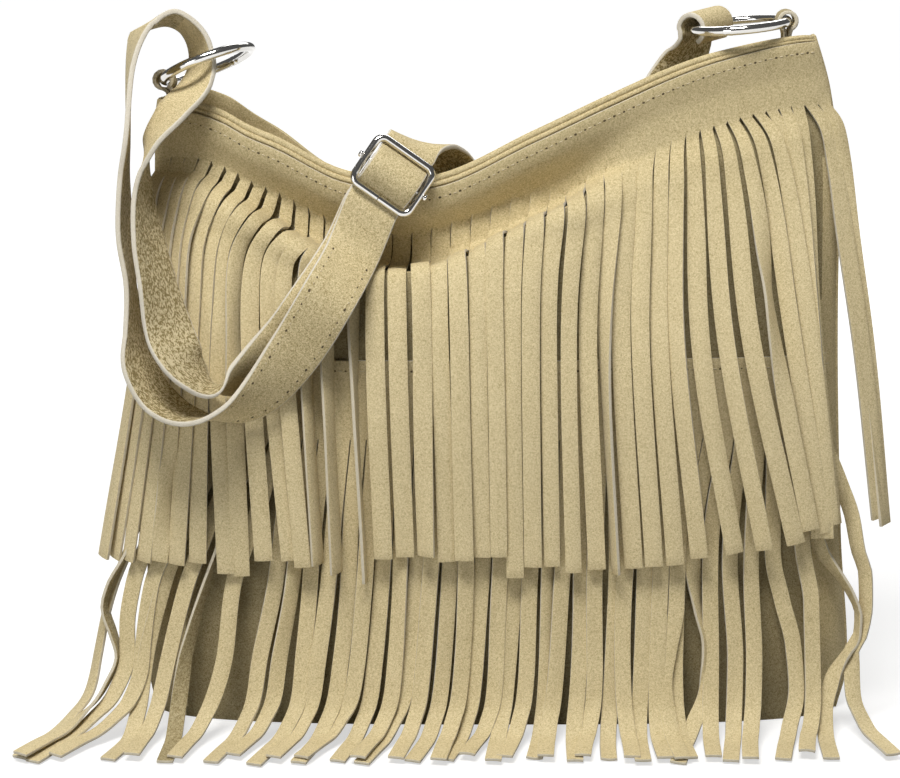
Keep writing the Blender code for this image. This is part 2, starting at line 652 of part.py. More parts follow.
def buckle_weave():
    """Under the upper bar, over the loop on the pin and under the lower bar."""
    along, across, out = buckle_axes()
    bar = (BUCKLE_LENGTH - BUCKLE_WIRE) / 2
    under = (BUCKLE_WIRE + STRAP_THICK) / 2 + GAP
    over = (PIN_WIDTH + STRAP_THICK) / 2 + STRAP_THICK + 2 * GAP
    stops = [(1, -1.03), (0.75, -0.57), (0.55, 0.65)]
    path = [(1.35 * bar, -1.5 * under)] + [(bar * s, under * n) for s, n in stops]
    path += [(0.28 * bar, 0.86 * over), (0, over * 1.02), (-0.28 * bar, 0.86 * over)]
    path += [(-bar * s, under * n) for s, n in reversed(stops)] + [(-1.4 * bar, -0.95 * under)]
    return [(BUCKLE_CENTRE + along * s + out * n, across) for s, n in path]


def pin_loop():
    """The other end, behind the lower bar and lapped round the pin."""
    along, across, out = buckle_axes()
    bar = (BUCKLE_LENGTH - BUCKLE_WIRE) / 2
    behind = (BUCKLE_WIRE + STRAP_THICK) / 2 + STRAP_THICK + 3 * GAP
    loop = (PIN_WIDTH + STRAP_THICK) / 2 + GAP
    path = [(-1.5 * bar, -behind), (-bar, -behind), (-0.6 * bar, -behind), (-0.25 * bar, -1.5 * loop)]
    path += [(loop * 1.03 * math.cos(a), loop * 1.03 * math.sin(a))
             for a in (math.radians(d) for d in (-75, -35, 5, 45, 85, 125))]
    path += [(-0.36 * bar, -0.1 * loop), (-0.46 * bar, -0.6 * loop)]
    return [(BUCKLE_CENTRE + along * s + out * n, across) for s, n in path]


def strap():
    return ribbon("strap", smooth_route(strap_route(), STRAP_STEP), STRAP_WIDTH, STRAP_THICK)


body_panel("front_panel", False)
body_panel("back_panel", True)
mouth_facing("front_facing", False)
mouth_facing("back_facing", True)
base_panel()
upper_fringe()
lower_fringe()
ring("left_ring", LEFT_RING, LEFT_RING_TILT, LEFT_RING_LIFT)
ring("right_ring", RIGHT_RING, RIGHT_RING_TILT, RIGHT_RING_LIFT)
corner_tab("left_tab", LEFT_RING, LEFT_RING_TILT, LEFT_RING_LIFT, -1)
corner_tab("right_tab", RIGHT_RING, RIGHT_RING_TILT, RIGHT_RING_LIFT, 1)
buckle_frame()
buckle_pin()
strap()
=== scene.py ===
import math

import bpy
import numpy as np
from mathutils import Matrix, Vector


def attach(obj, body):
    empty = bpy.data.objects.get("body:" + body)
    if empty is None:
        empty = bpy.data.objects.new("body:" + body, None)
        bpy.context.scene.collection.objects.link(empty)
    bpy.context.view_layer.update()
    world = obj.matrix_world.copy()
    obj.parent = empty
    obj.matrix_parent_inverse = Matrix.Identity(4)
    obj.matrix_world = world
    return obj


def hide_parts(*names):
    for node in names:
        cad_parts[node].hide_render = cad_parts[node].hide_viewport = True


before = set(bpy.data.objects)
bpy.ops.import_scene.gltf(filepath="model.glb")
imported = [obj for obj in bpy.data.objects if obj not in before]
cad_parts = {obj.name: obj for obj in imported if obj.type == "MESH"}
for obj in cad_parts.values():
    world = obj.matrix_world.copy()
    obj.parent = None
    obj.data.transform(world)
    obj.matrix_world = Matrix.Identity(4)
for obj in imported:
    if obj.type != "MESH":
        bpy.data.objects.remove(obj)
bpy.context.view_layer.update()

mm = 0.001
chance = np.random.default_rng(11)


# reading smooth values out of short lists of points, all in millimetres

def curveValue(points, at):
    xs, ys = np.array(points, float).T
    slopes = np.diff(ys) / np.diff(xs)
    before, after = slopes[:-1], slopes[1:]
    agree = before * after > 0
    inner = np.where(agree, 2 * before * after / np.where(agree, before + after, 1), 0)
    tangents = np.concatenate([slopes[:1], inner, slopes[-1:]])
    at = np.clip(at, xs[0], xs[-1])
    k = np.clip(np.searchsorted(xs, at, side="right") - 1, 0, len(xs) - 2)
    width = xs[k + 1] - xs[k]
    t = (at - xs[k]) / width
    return (ys[k] * (2 * t**3 - 3 * t**2 + 1) + tangents[k] * width * (t**3 - 2 * t**2 + t)
            + ys[k + 1] * (3 * t**2 - 2 * t**3) + tangents[k + 1] * width * (t**3 - t**2))


def ease(t):
    t = np.clip(t, 0, 1)
    return t * t * (3 - 2 * t)


def blendOf(a, b, t):
    return a + (b - a) * t


def unit(v):
    return v / np.maximum(np.linalg.norm(v, axis=-1, keepdims=True), 1e-9)


# the bag's walls

body = {
    "leftSide": [(0, 150), (20, 153), (120, 150), (200, 146), (262, 143), (275, 141)],
    "rightSide": [(0, 152), (20, 156), (80, 151), (180, 146), (240, 145), (272, 140), (300, 131)],
    "yokeEdge": [(-143, 264), (-128, 264), (-115, 260), (-104, 254), (-92, 249), (-63, 235), (-40, 231),
                 (-26, 233), (16, 252), (47, 266.5), (92, 285), (125, 292.5), (132, 293)],
    "foldRise": [(-143, 5), (60, 5), (120, 2.8), (132, 2.5)],
    "backRise": [(-143, -0.5), (-125, 3.5), (-115, 4), (-95, 1), (-70, -4), (132, -3)],
    "foldedWall": [(-6, 14), (0, 15), (7, 13.8), (15, 8), (20, 4.5), (25.5, 4.2), (28.5, 9.5), (31, 19), (34, 25),
                   (39, 28.5), (48, 31), (60, 32.5), (110, 33)],
    "smoothWall": [(-6, 11.5), (0, 12), (16, 9.6), (26, 9.8), (42, 16), (80, 24), (130, 31), (180, 33)],
    "foldShare": [(-143, 0.25), (-118, 0.4), (-100, 0.7), (-80, 1), (22, 1), (64, 0), (132, 0)],
    # how far the leather tucks down behind the lip of the fold, and rides up on it, by drop below the cut edge
    "foldTuck": [(0, 0), (15, 0), (21, -2.2), (25.5, -6), (28.5, -6.2), (31, -1.6), (33.5, 0.8), (38, 0.9), (48, 0),
                 (110, 0)],
    "backFoldShare": 0.15,
    "baseDepth": 60, "baseBlend": 55, "planPower": 3, "mouthPower": 6, "mouthBlend": 45,
    "seamGap": 0.3, "panelThick": 1.4, "facingThick": 1.2, "facingSpan": 0.93, "baseThick": 2,
    "columns": 141, "rows": 116, "rollHeight": 0.9, "slack": 0.35,
    # rows run close together over the folded top, then over the fold: the share of the rows, and how far down
    "lipShare": 0.13, "lipDrop": 1.5, "foldRows": 0.6, "foldDrop": 56,
    "facingColumns": 121, "facingRows": 26, "facingRun": 0.27, "baseSteps": 90,
    # where the painted shade starts: how far a face turns, and its place across and below the cut edge
    "insideShadeTurn": 0.35, "insideShadeHalf": 150,
    "behindShadeTurn": 0.2, "behindShadeMiddle": 1, "behindShadeHalf": 136, "behindShadeBelow": 24,
}


def edgeHeight(x):
    return curveValue(body["yokeEdge"], x)


def sides(z):
    return -curveValue(body["leftSide"], z), curveValue(body["rightSide"], z)


def acrossAt(z, share):
    left, right = sides(z)
    return (left + right) / 2 + share * (right - left) / 2


def wallDepth(x, z, back):
    drop = edgeHeight(x) - z
    share = body["backFoldShare"] if back else curveValue(body["foldShare"], x)
    depth = blendOf(curveValue(body["smoothWall"], drop), curveValue(body["foldedWall"], drop), share)
    depth = blendOf(body["baseDepth"] / 2, depth, ease(z / body["baseBlend"]))
    left, right = sides(z)
    across = np.clip(np.abs((2 * x - left - right) / (right - left)), 0, 1)
    power = blendOf(body["mouthPower"], body["planPower"], ease(drop / body["mouthBlend"]))
    return depth * np.maximum(0, 1 - across**power) ** (1 / power)


def onWall(x, z, out, back=False):
    x, z, out = np.broadcast_arrays(*(np.asarray(v, float) for v in (x, z, out)))
    way = 1 if back else -1
    step = 0.5
    left, right = sides(z)
    px = np.clip(x, left + 2 * step, right - 2 * step)

    def place(ax, az):
        share = curveValue(body["foldShare"], ax) ** 2
        tuck = 0 if back else curveValue(body["foldTuck"], edgeHeight(ax) - az) * share
        inside = 0 if back else ease((1 - np.abs((2 * ax - left - right) / (right - left))) / 0.06)
        return np.stack([ax, way * (body["seamGap"] / 2 + wallDepth(ax, az, back)), az + tuck * inside], -1)

    across = place(px + step, z) - place(px - step, z)
    upward = place(px, z + step) - place(px, z - step)
    normal = unit(np.cross(across, upward)) * (-1 if back else 1)
    made = place(px, z) + normal * out[..., None]
    made[..., 0] += x - px
    return made


def wander(seed, count, waves, rows):
    # smooth seeded wandering between about -1 and 1, one line of it for each strip
    source = np.random.default_rng(seed)
    phase = source.uniform(0, 2 * np.pi, (count, waves, 1))
    size = source.normal(0, 1, (count, waves, 1)) / np.arange(1, waves + 1)[None, :, None]
    t = np.linspace(0, 1, rows)[None, None, :]
    pitch = np.arange(1, waves + 1)[None, :, None]
    return (size * np.sin(np.pi * pitch * t + phase)).sum(1) * 0.7


# turning points into meshes

def linked(name, data):
    made = bpy.data.objects.new(name, data)
    bpy.context.collection.objects.link(made)
    return made


def meshPiece(name, points, faces, finishes, faceFinish=None, uv=None, sharp=45):
    mesh = bpy.data.meshes.new(name)
    mesh.from_pydata([tuple(p) for p in np.asarray(points).reshape(-1, 3) * mm], [], [tuple(f) for f in faces])
    for finish in finishes:
        mesh.materials.append(finish)
    if faceFinish is not None:
        mesh.polygons.foreach_set("material_index", np.asarray(faceFinish, np.int32))
    if uv is not None:
        layer = mesh.uv_layers.new(name="alongPiece")
        corners = np.zeros(len(mesh.loops), np.int32)
        mesh.loops.foreach_get("vertex_index", corners)
        layer.data.foreach_set("uv", np.asarray(uv, float)[corners].ravel())
    mesh.validate()
    mesh.shade_smooth()
    mesh.set_sharp_from_angle(angle=math.radians(sharp))
    return linked(name, mesh)


def gridFaces(rows, columns):
    r, c = np.meshgrid(np.arange(rows - 1), np.arange(columns - 1), indexing="ij")
    a = (r * columns + c).ravel()
    return np.stack([a, a + 1, a + columns + 1, a + columns], 1)


def loopFaces(first, second, count):
    # the faces between two loops of points that start at these numbers
    ahead = [(j + 1) % count for j in range(count)]
    return [(first + j, first + ahead[j], second + ahead[j], second + j) for j in range(count)]


def applied(piece):
    # the evaluated mesh, with its modifiers baked in
    bpy.context.view_layer.update()
    graph = bpy.context.evaluated_depsgraph_get()
    mesh = bpy.data.meshes.new_from_object(piece.evaluated_get(graph))
    old = piece.data
    piece.modifiers.clear()
    piece.data = mesh
    bpy.data.meshes.remove(old)
    return piece


def leatherSheet(name, grid, thick, finishes, faces=None, rimFinish=1, backFinish=0, rounded=0.45, uv=None):
    # an open sheet of points given a thickness on both sides, with its rims rounded over
    rows, columns = grid.shape[:2]
    faces = gridFaces(rows, columns) if faces is None else faces
    made = meshPiece(name, grid.reshape(-1, 3), faces, finishes, uv=uv)
    wall = made.modifiers.new("wall", "SOLIDIFY")
    wall.thickness = thick * mm
    wall.offset = 0
    wall.use_even_offset = False
    wall.use_rim = True
    wall.material_offset = backFinish
    wall.material_offset_rim = rimFinish
    soft = made.modifiers.new("rounding", "BEVEL")
    soft.width = rounded * mm
    soft.segments = 2
    soft.limit_method = "ANGLE"
    soft.angle_limit = math.radians(60)
    soft.use_clamp_overlap = True
    soft.harden_normals = False
    applied(made)
    made.data.shade_smooth()
    made.data.set_sharp_from_angle(angle=math.radians(60))
    return made


def tubePiece(name, path, radii, sides, closed, start, finishes, sharp=45):
    path = np.asarray(path, float)
    radii = np.broadcast_to(np.asarray(radii, float), len(path))
    count = len(path)
    if closed:
        along = unit(np.roll(path, -1, 0) - np.roll(path, 1, 0))
    else:
        along = unit(np.gradient(path, axis=0))
    normal = np.asarray(start, float)
    rings = []
    angles = 2 * np.pi * np.arange(sides) / sides
    for k in range(count):
        normal = unit(normal - along[k] * normal.dot(along[k]))
        other = np.cross(along[k], normal)
        rings.append(path[k] + (np.cos(angles)[:, None] * normal + np.sin(angles)[:, None] * other) * radii[k])
    faces = []
    for k in range(count if closed else count - 1):
        faces += loopFaces(k * sides, ((k + 1) % count) * sides, sides)
    if not closed:
        faces.append(tuple(reversed(range(sides))))
        faces.append(tuple((count - 1) * sides + j for j in range(sides)))
    return meshPiece(name, np.concatenate(rings), faces, finishes, sharp=sharp)


# shader maths: a small wrapper so that masks can be written as sums and products

class Val:
    def __init__(self, tree, socket):
        self.tree, self.socket = tree, socket

    def math(self, kind, other=0.0, clamp=False, first=None):
        made = self.tree.nodes.new("ShaderNodeMath")
        made.operation, made.use_clamp = kind, clamp
        for k, value in enumerate((self if first is None else first, other)):
            if isinstance(value, Val):
                self.tree.links.new(value.socket, made.inputs[k])
            else:
                made.inputs[k].default_value = value
        return Val(self.tree, made.outputs[0])

    def __add__(self, other):
        return self.math("ADD", other)

    def __sub__(self, other):
        return self.math("SUBTRACT", other)

    def __rsub__(self, other):
        return self.math("SUBTRACT", self, first=other)

    def __mul__(self, other):
        return self.math("MULTIPLY", other)

    def clamped(self):
        return self.math("ADD", 0.0, clamp=True)


def addNode(tree, kind, settings, sockets):
    # a node with its settings, and its inputs given by name, or by place as i0, i1 and so on
    made = tree.nodes.new(kind)
    for key, value in (settings or {}).items():
        setattr(made, key, value)
    for key, value in sockets.items():
        socket = made.inputs[int(key[1:]) if key[0] == "i" and key[1:].isdigit() else key]
        value = value.socket if isinstance(value, Val) else value
        if isinstance(value, bpy.types.NodeSocket):
            tree.links.new(value, socket)
        else:
            socket.default_value = value
    return made


class Finish:
    # one material, with a method for any node
    def __init__(self, name, roughness=0.9, metallic=0.0):
        self.made = bpy.data.materials.new(name)
        self.made.use_nodes = True
        self.tree = self.made.node_tree
        self.shader = self.tree.nodes["Principled BSDF"]
        self.shader.inputs["Roughness"].default_value = roughness
        self.shader.inputs["Metallic"].default_value = metallic

    def node(self, kind, out=0, settings=None, **sockets):
        return Val(self.tree, addNode(self.tree, kind, settings, sockets).outputs[out])

    def pieceMap(self):
        return self.node("ShaderNodeUVMap", settings={"uv_map": "alongPiece"})

    def place(self, size=(1, 1, 1), uv=False):
        source = self.pieceMap() if uv else self.node("ShaderNodeTexCoord", out="Object")
        return self.node("ShaderNodeMapping", Vector=source, Scale=size)

    def noise(self, at, scale, detail=3.0, rough=0.55, distort=0.0):
        return self.node("ShaderNodeTexNoise", out="Fac", Vector=at, Scale=scale, Detail=detail,
                         Roughness=rough, Distortion=distort)

    def colours(self, a, b, share):
        return self.node("ShaderNodeMix", out=2, settings={"data_type": "RGBA"}, i6=(*a, 1), i7=(*b, 1), i0=share)

    def ramp(self, colours, share):
        # even steps from the first colour to the last
        made = addNode(self.tree, "ShaderNodeValToRGB", None, {"Fac": share})
        steps = made.color_ramp.elements
        while len(steps) < len(colours):
            steps.new(0.5)
        for k, (step, colour) in enumerate(zip(steps, colours)):
            step.position, step.color = k / (len(colours) - 1), (*colour, 1)
        return Val(self.tree, made.outputs["Color"])

    def to(self, key, value):
        self.tree.links.new(value.socket, self.shader.inputs[key])

    def bump(self, height, strength, distance):
        bumped = self.node("ShaderNodeBump", Height=height, Strength=strength, Distance=distance)
        self.to("Normal", bumped)


suede = {
    "pale": (0.82, 0.70, 0.44), "main": (0.62, 0.515, 0.29), "deep": (0.33, 0.255, 0.11),
    "edgePale": (0.78, 0.72, 0.58), "edgeDeep": (0.55, 0.48, 0.33),
    "patch": 26.0, "brush": 200.0, "grain": 1250.0, "fine": 2700.0,
    "patchPart": 0.3, "brushPart": 0.35, "grainPart": 2.4, "finePart": 2.8, "contrast": 0.55,
    "bumpDepth": 0.00035, "bumpStrength": 0.75,
}


def napFinish(name, tone=1.0, coarse=1.0, contrast=1.0, direction=(1, 1, 1), uv=False, deep=0.0, paintedTipLight=0.0):
    made = Finish(name, roughness=0.92)
    at = made.place(size=direction, uv=uv)
    patches = made.noise(at, suede["patch"], 2.0)
    brushed = made.noise(at, suede["brush"] / coarse, 3.0, 0.6, 0.4)
    grain = made.noise(at, suede["grain"] / coarse, 3.0, 0.65, 0.2)
    fine = made.noise(at, suede["fine"] / coarse, 2.0, 0.6)
    value = (patches - 0.5) * suede["patchPart"] + (brushed - 0.5) * suede["brushPart"]
    value = value + (grain - 0.5) * suede["grainPart"] + (fine - 0.5) * suede["finePart"]
    value = value * contrast * suede["contrast"] + (0.5 - deep)
    if paintedTipLight:  # painted light: strips are paler towards their tips, where they face up into the light
        value = value + made.node("ShaderNodeSeparateXYZ", out="Y", Vector=made.pieceMap()) * paintedTipLight
    shades = [[min(1, c * tone) for c in suede[key]] for key in ("deep", "main", "pale")]
    made.to("Base Color", made.ramp(shades, value.clamped()))
    made.to("Roughness", 0.98 - grain * 0.14)
    made.bump(grain * 0.6 + fine * 0.25 + brushed * 0.3, suede["bumpStrength"], suede["bumpDepth"] * coarse)
    made.shader.inputs["Sheen Weight"].default_value = 0.2
    made.shader.inputs["Sheen Roughness"].default_value = 0.45
    made.shader.inputs["Sheen Tint"].default_value = (1.0, 0.93, 0.74, 1)
    made.shader.inputs["Specular IOR Level"].default_value = 0.12
    return made.made


def edgeFinish(name, tone, grey=0.0):
    made = Finish(name, roughness=0.95)
    at = made.place()
    deep, pale = ([c * tone * blendOf(1, g, grey) for c, g in zip(suede[key], (0.98, 1.02, 1.16))]
                  for key in ("edgeDeep", "edgePale"))
    fibre = made.noise(at, 1500.0, 3.0, 0.65)
    stain = made.noise(at, 90.0, 2.0)
    made.to("Base Color", made.colours(deep, pale, (fibre * 1.1 + stain * 0.5 - 0.15).clamped()))
    made.to("Roughness", 0.99 - fibre * 0.1)
    made.bump(fibre, 0.7, 0.0003)
    made.shader.inputs["Sheen Weight"].default_value = 0.25
    made.shader.inputs["Specular IOR Level"].default_value = 0.1
    return made.made


def metalFinish(name):
    made = Finish(name, roughness=0.1, metallic=1.0)
    at = made.place()
    smear = made.noise(at, 60.0, 2.0)
    pits = made.noise(at, 900.0, 2.0)
    made.to("Base Color", made.colours((0.66, 0.645, 0.615), (0.80, 0.79, 0.765), smear))
    made.to("Roughness", smear * 0.08 + pits * 0.05 + 0.04)
    made.bump(pits, 0.06, 0.00008)
    return made.made


def plainFinish(name, colour, pale, scale, roughness):
    made = Finish(name, roughness=roughness)
    at = made.place()
    spread = made.noise(at, scale, 2.0)
    made.to("Base Color", made.colours(colour, pale, spread))
    made.to("Roughness", spread * 0.1 + (roughness - 0.05))
    return made.made


napOuter = napFinish("suedeNap")
# painted light: the fringe's suede is paler towards the strips' tips, where they face up into the light
napFringe = napFinish("suedeFringe", paintedTipLight=0.17)
napStrap = napFinish("suedeStrap", tone=1.02, contrast=1.4)
napRough = napFinish("suedeRough", tone=0.78, coarse=2.6, contrast=5.5, direction=(1.4, 0.8, 1), uv=True, deep=0.1)
# painted shade: a darker suede for faces that look into the bag, the backs of the strips and the tabs' undersides
napShadeInside = napFinish("suedeShadeInside", tone=0.72, coarse=1.3, contrast=1.3, deep=0.12)
# painted shade: a darker suede for the front wall where it lies behind the fringe
napShadeBehind = napFinish("suedeShadeBehind", tone=0.62, contrast=1.1, deep=0.12)
cutEdge = edgeFinish("cutEdge", 0.92)
strapEdge = edgeFinish("strapEdge", 1.0, grey=0.5)
nickel = metalFinish("polishedNickel")
# painted shade: the stitch holes are near-black flattened dots that stand for the shade in each hole
holeShade = plainFinish("stitchHoleShade", (0.07, 0.05, 0.025), (0.16, 0.12, 0.06), 900.0, 0.9)
threadPale = plainFinish("thread", (0.62, 0.52, 0.33), (0.78, 0.70, 0.50), 1400.0, 0.7)
print("materials made")


# body shell

def bodyPlace(share, drops):
    # where each row, given by its drop below the cut edge, crosses a share of the body's width
    x = acrossAt(edgeHeight(np.zeros_like(share)), share)
    for _ in range(5):
        z = edgeHeight(x) - drops(x)
        x = acrossAt(z, share)
    return x, z


def bodyDrops(t, back):
    # t runs from 0 at the folded top to 1 at the floor, with more rows over the fold
    lipEnd, foldEnd = body["lipShare"], body["foldRows"]

    def drops(x):
        rise = curveValue(body["backRise"], x) if back else 0
        top = -(curveValue(body["foldRise"], x) + rise)
        bottom = edgeHeight(x) - body["seamGap"]
        near = blendOf(body["lipDrop"], body["foldDrop"], np.clip((t - lipEnd) / (foldEnd - lipEnd), 0, 1))
        near = np.where(t < lipEnd, blendOf(top, body["lipDrop"], np.clip(t / lipEnd, 0, 1)), near)
        far = blendOf(body["foldDrop"], bottom, np.clip((t - foldEnd) / (1 - foldEnd), 0, 1))
        return np.where(t < foldEnd, near, far)
    return drops


def bodyPanel(name, back):
    columns, rows = body["columns"], body["rows"]
    share = np.sin(np.pi * (np.linspace(0, 1, columns) - 0.5))[None, :] * np.ones((rows, 1))
    t = np.linspace(0, 1, rows)[:, None] * np.ones((1, columns))
    x, z = bodyPlace(share, bodyDrops(t, back))
    soft = (np.sin(x / 23 + z / 31) + np.sin(x / 41 - z / 19 + 1.3) + np.sin(x / 13 + z / 57 + 2.1)) / 3
    inward = body["slack"] * (soft - 1) * ease((1 - np.abs(share)) / 0.12)
    inward = inward * ease((edgeHeight(x) - z) / 20) * ease(z / 20)
    # two soft rolls run along the folded top, with the seam line sunk between them
    level = np.clip((z - edgeHeight(x)) / curveValue(body["foldRise"], x), 0, 1)
    rolls = body["rollHeight"] * (np.sin(2 * np.pi * level) ** 2 - 0.35) * ease((1 - np.abs(share)) / 0.05)
    inward = inward + (0 if back else 1) * rolls * (level > 0)
    grid = onWall(x, z, -body["panelThick"] / 2 + inward, back)
    side = np.abs(share) > 0.99999
    way = 1 if back else -1
    edgeY = np.full_like(x, way * body["seamGap"] / 2)
    edge = np.stack([x - np.sign(share) * body["panelThick"] / 2, edgeY, z], -1)
    grid = np.where(side[..., None], edge, grid)
    finishes = [napOuter, cutEdge, napShadeInside, napShadeBehind]
    return leatherSheet(name, grid, body["panelThick"], finishes, rimFinish=0, rounded=0.5)


def paintFaces(piece, slot, chosen):
    # chosen tells, by how far faces turn to the back and where they lie, which get the finish in this slot
    mesh = piece.data
    normals = np.zeros(len(mesh.polygons) * 3)
    mesh.polygons.foreach_get("normal", normals)
    centres = np.zeros_like(normals)
    mesh.polygons.foreach_get("center", centres)
    index = np.zeros(len(mesh.polygons), np.int32)
    mesh.polygons.foreach_get("material_index", index)
    x, _, z = centres.reshape(-1, 3).T / mm
    index[chosen(normals.reshape(-1, 3)[:, 1], x, z)] = slot
    mesh.polygons.foreach_set("material_index", index)


def mouthFacing(name, back):
    columns, rows = body["facingColumns"], body["facingRows"]
    share = np.sin(np.pi * (np.linspace(0, 1, columns) - 0.5)) * body["facingSpan"]
    share = share[None, :] * np.ones((rows, 1))
    t = np.linspace(0, body["facingRun"], rows)[:, None] * np.ones((1, columns))
    x, z = bodyPlace(share, bodyDrops(t, back))
    depth = body["panelThick"] + body["seamGap"] + body["facingThick"] / 2
    grid = onWall(x, z, -depth, back)
    return leatherSheet(name, grid, body["facingThick"], [napOuter, cutEdge, napShadeInside], rimFinish=0)


def basePanel():
    share = np.sin(np.pi * (np.linspace(0.03, 0.97, body["baseSteps"]) - 0.5))
    inset = body["panelThick"] + 2 * body["seamGap"]
    z = body["baseThick"]
    front = onWall(acrossAt(z, share), z, -inset)[:, :2]
    rear = onWall(acrossAt(z, share), z, -inset, True)[::-1, :2]
    left, right = sides(0)
    rim = np.concatenate([front, [[right - inset, 0]], rear, [[left + inset, 0]]])
    middle = rim.mean(0)
    rings = [(1.0, 0.0), (1.0, 2.0), (0.97, 2.0), (0.6, 2.3), (0.2, 2.3)]
    points = []
    for size, height in rings:
        ring = middle + (rim - middle) * size
        points.append(np.column_stack([ring, np.full(len(ring), height)]))
    count = len(rim)
    faces = []
    for k in range(len(rings) - 1):
        faces += loopFaces(k * count, (k + 1) * count, count)
    faces.append(tuple(reversed(range(count))))
    faces.append(tuple((len(rings) - 1) * count + j for j in range(count)))
    return meshPiece("baseFine", np.concatenate(points), faces, [napOuter])


frontBody = bodyPanel("bodyFront", False)
backBody = bodyPanel("bodyBack", True)
# faces that look into the bag, or lie behind the fringe, get darker finishes as painted shade
paintFaces(frontBody, 2, lambda turn, x, z: (turn > body["insideShadeTurn"]) & (np.abs(x) < body["insideShadeHalf"]))
paintFaces(frontBody, 3, lambda turn, x, z: (turn < -body["behindShadeTurn"]) & (z < edgeHeight(x) - body["behindShadeBelow"])
           & (np.abs(x - body["behindShadeMiddle"]) < body["behindShadeHalf"]))
paintFaces(backBody, 2, lambda turn, x, z: (turn < -body["insideShadeTurn"]) & (np.abs(x) < body["insideShadeHalf"]))
frontFacing = mouthFacing("facingFront", False)
backFacing = mouthFacing("facingBack", True)
baseFine = basePanel()
print("body made")


# fringe

strip = {"points": 5, "rounded": 0.22, "offFloor": 0.15}
stripEdge = np.linspace(-1, 1, strip["points"])

upper = {
    "strips": 43, "thick": 1.3, "slit": 0.4, "gap": 0.7, "span": 0.965, "stand": 7.4,
    "bridge": 3.2, "bridgeDrop": 20, "slitLevel": 250,
    "layer": 1.2, "leftOver": 0.55, "leftCount": 8, "rows": 60, "bandRows": 10, "seamHeight": 163,
    "bandHeight": 34, "width": 7.2,
    "slitTop": [(-143, 19), (-60, 18), (-20, 17), (12, 20), (50, 27), (132, 26)],
    # where the slits lie: strip number and place across, closer together where the wall turns away
    "slits": [(0, -142), (13, -65), (29, 60), (43, 142.5)],
    # where each strip hangs, as the photograph shows it: across at mid height and at its tip, and the tip's height
    "midHeight": 187,
    "mids": [-144, -141, -138, -134.5, -130.5, -126, -121, -116.5, -110, -102, -95, -88, -80, -70.5, -60, -51,
             -42, -31.5, -24, -16, -8, -0.5, 6, 13.5, 21, 29, 37, 44, 51, 59, 67, 74, 83, 93, 103, 112, 121,
             128.5, 129, 129.5, 131, 148, 153],
    "tips": [-163, -159, -154, -148, -142, -135, -126, -114, -108, -98, -87, -81.5, -75.5, -67.5, -55.5, -47.5,
             -38.5, -29.5, -21, -13.5, -6, 1, 8, 15.5, 23.5, 32.5, 42.5, 50.5, 58, 66.5, 75.5, 85.5, 100.5, 113,
             126.5, 132.5, 138.5, 141, 137, 139, 143, 162, 166],
    "tipHeights": [75.5, 75, 75, 75.5, 76, 75, 76, 71.5, 70.5, 78, 78, 75.5, 76.5, 73, 69, 79.5, 80, 81, 78, 79,
                   80, 80.5, 71, 76, 76, 73.5, 74.5, 73, 75, 76, 76.5, 79.5, 81, 82.5, 84.5, 90.5, 88.5, 92, 86,
                   86, 91, 92, 89],
    "early": [(0, 0.8), (4, 0.93), (13, 0.93), (18, 0.85), (26, 0.76), (36, 0.86), (42, 0.8)],
    "first": [(0, 0.3), (5, 0.36), (8, 0.3), (10, 0.12), (14, 0.1), (20, 0.2), (26, 0.3), (42, 0.35)],
    "firstDrop": 9,
    "twist": [(0, 20), (5, 18), (7, 10), (9, -16), (14, -8), (18, 6), (26, 11), (34, 18), (38, 24), (42, 10)],
    "sway": 0.9, "turn": 10.0, "soften": 5, "flat": (0.300, 0.195), "flatArea": 0.0555,
}


def upperShare(s, edge):
    # the share of the body's width of a strip's edge, at the height of the slits
    left, right = sides(upper["slitLevel"])
    middle, half = (left + right) / 2, (right - left) / 2
    low, high = curveValue(upper["slits"], s + 0.0), curveValue(upper["slits"], s + 1.0)
    x = (low + high) / 2 + edge * ((high - low) - upper["slit"]) / 2
    return (x - middle) / half


def bandPlace(share, portion):
    x = acrossAt(edgeHeight(np.zeros_like(share)), share)
    for _ in range(5):
        z = edgeHeight(x) - curveValue(upper["slitTop"], x) * portion
        x = acrossAt(z, share)
    return x, z


def softened(path, passes):
    # evens out kinks along each strip and keeps its ends
    for _ in range(passes):
        path = path.copy()
        path[:, 1:-1] = path[:, 1:-1] * 0.5 + (path[:, :-2] + path[:, 2:]) * 0.25
    return path


def stripFrame(centre, out):
    # side and face directions along each strip, from its path and the way the wall faces
    along = unit(np.gradient(centre, axis=1))
    side = unit(np.cross(out, along))
    return side, np.cross(along, side)


def fringeFaces(bandRows, stripRows, strips, across):
    columns = strips * across
    faces = [gridFaces(bandRows, columns)]
    r, s, k = np.meshgrid(np.arange(bandRows - 1, bandRows + stripRows - 1), np.arange(strips),
                          np.arange(across - 1), indexing="ij")
    a = (r * columns + s * across + k).ravel()
    faces.append(np.stack([a, a + 1, a + columns + 1, a + columns], 1))
    return np.concatenate(faces)[:, ::-1]


def hangMap(hang, columns):
    # one map for a fringe: its place across, and how far down the strip a point is, which sets the painted light
    # towards the tips
    across = np.broadcast_to(np.arange(columns) * mm, (len(hang), columns))
    return np.stack([across, np.broadcast_to(hang[:, None], across.shape)], -1).reshape(-1, 2)


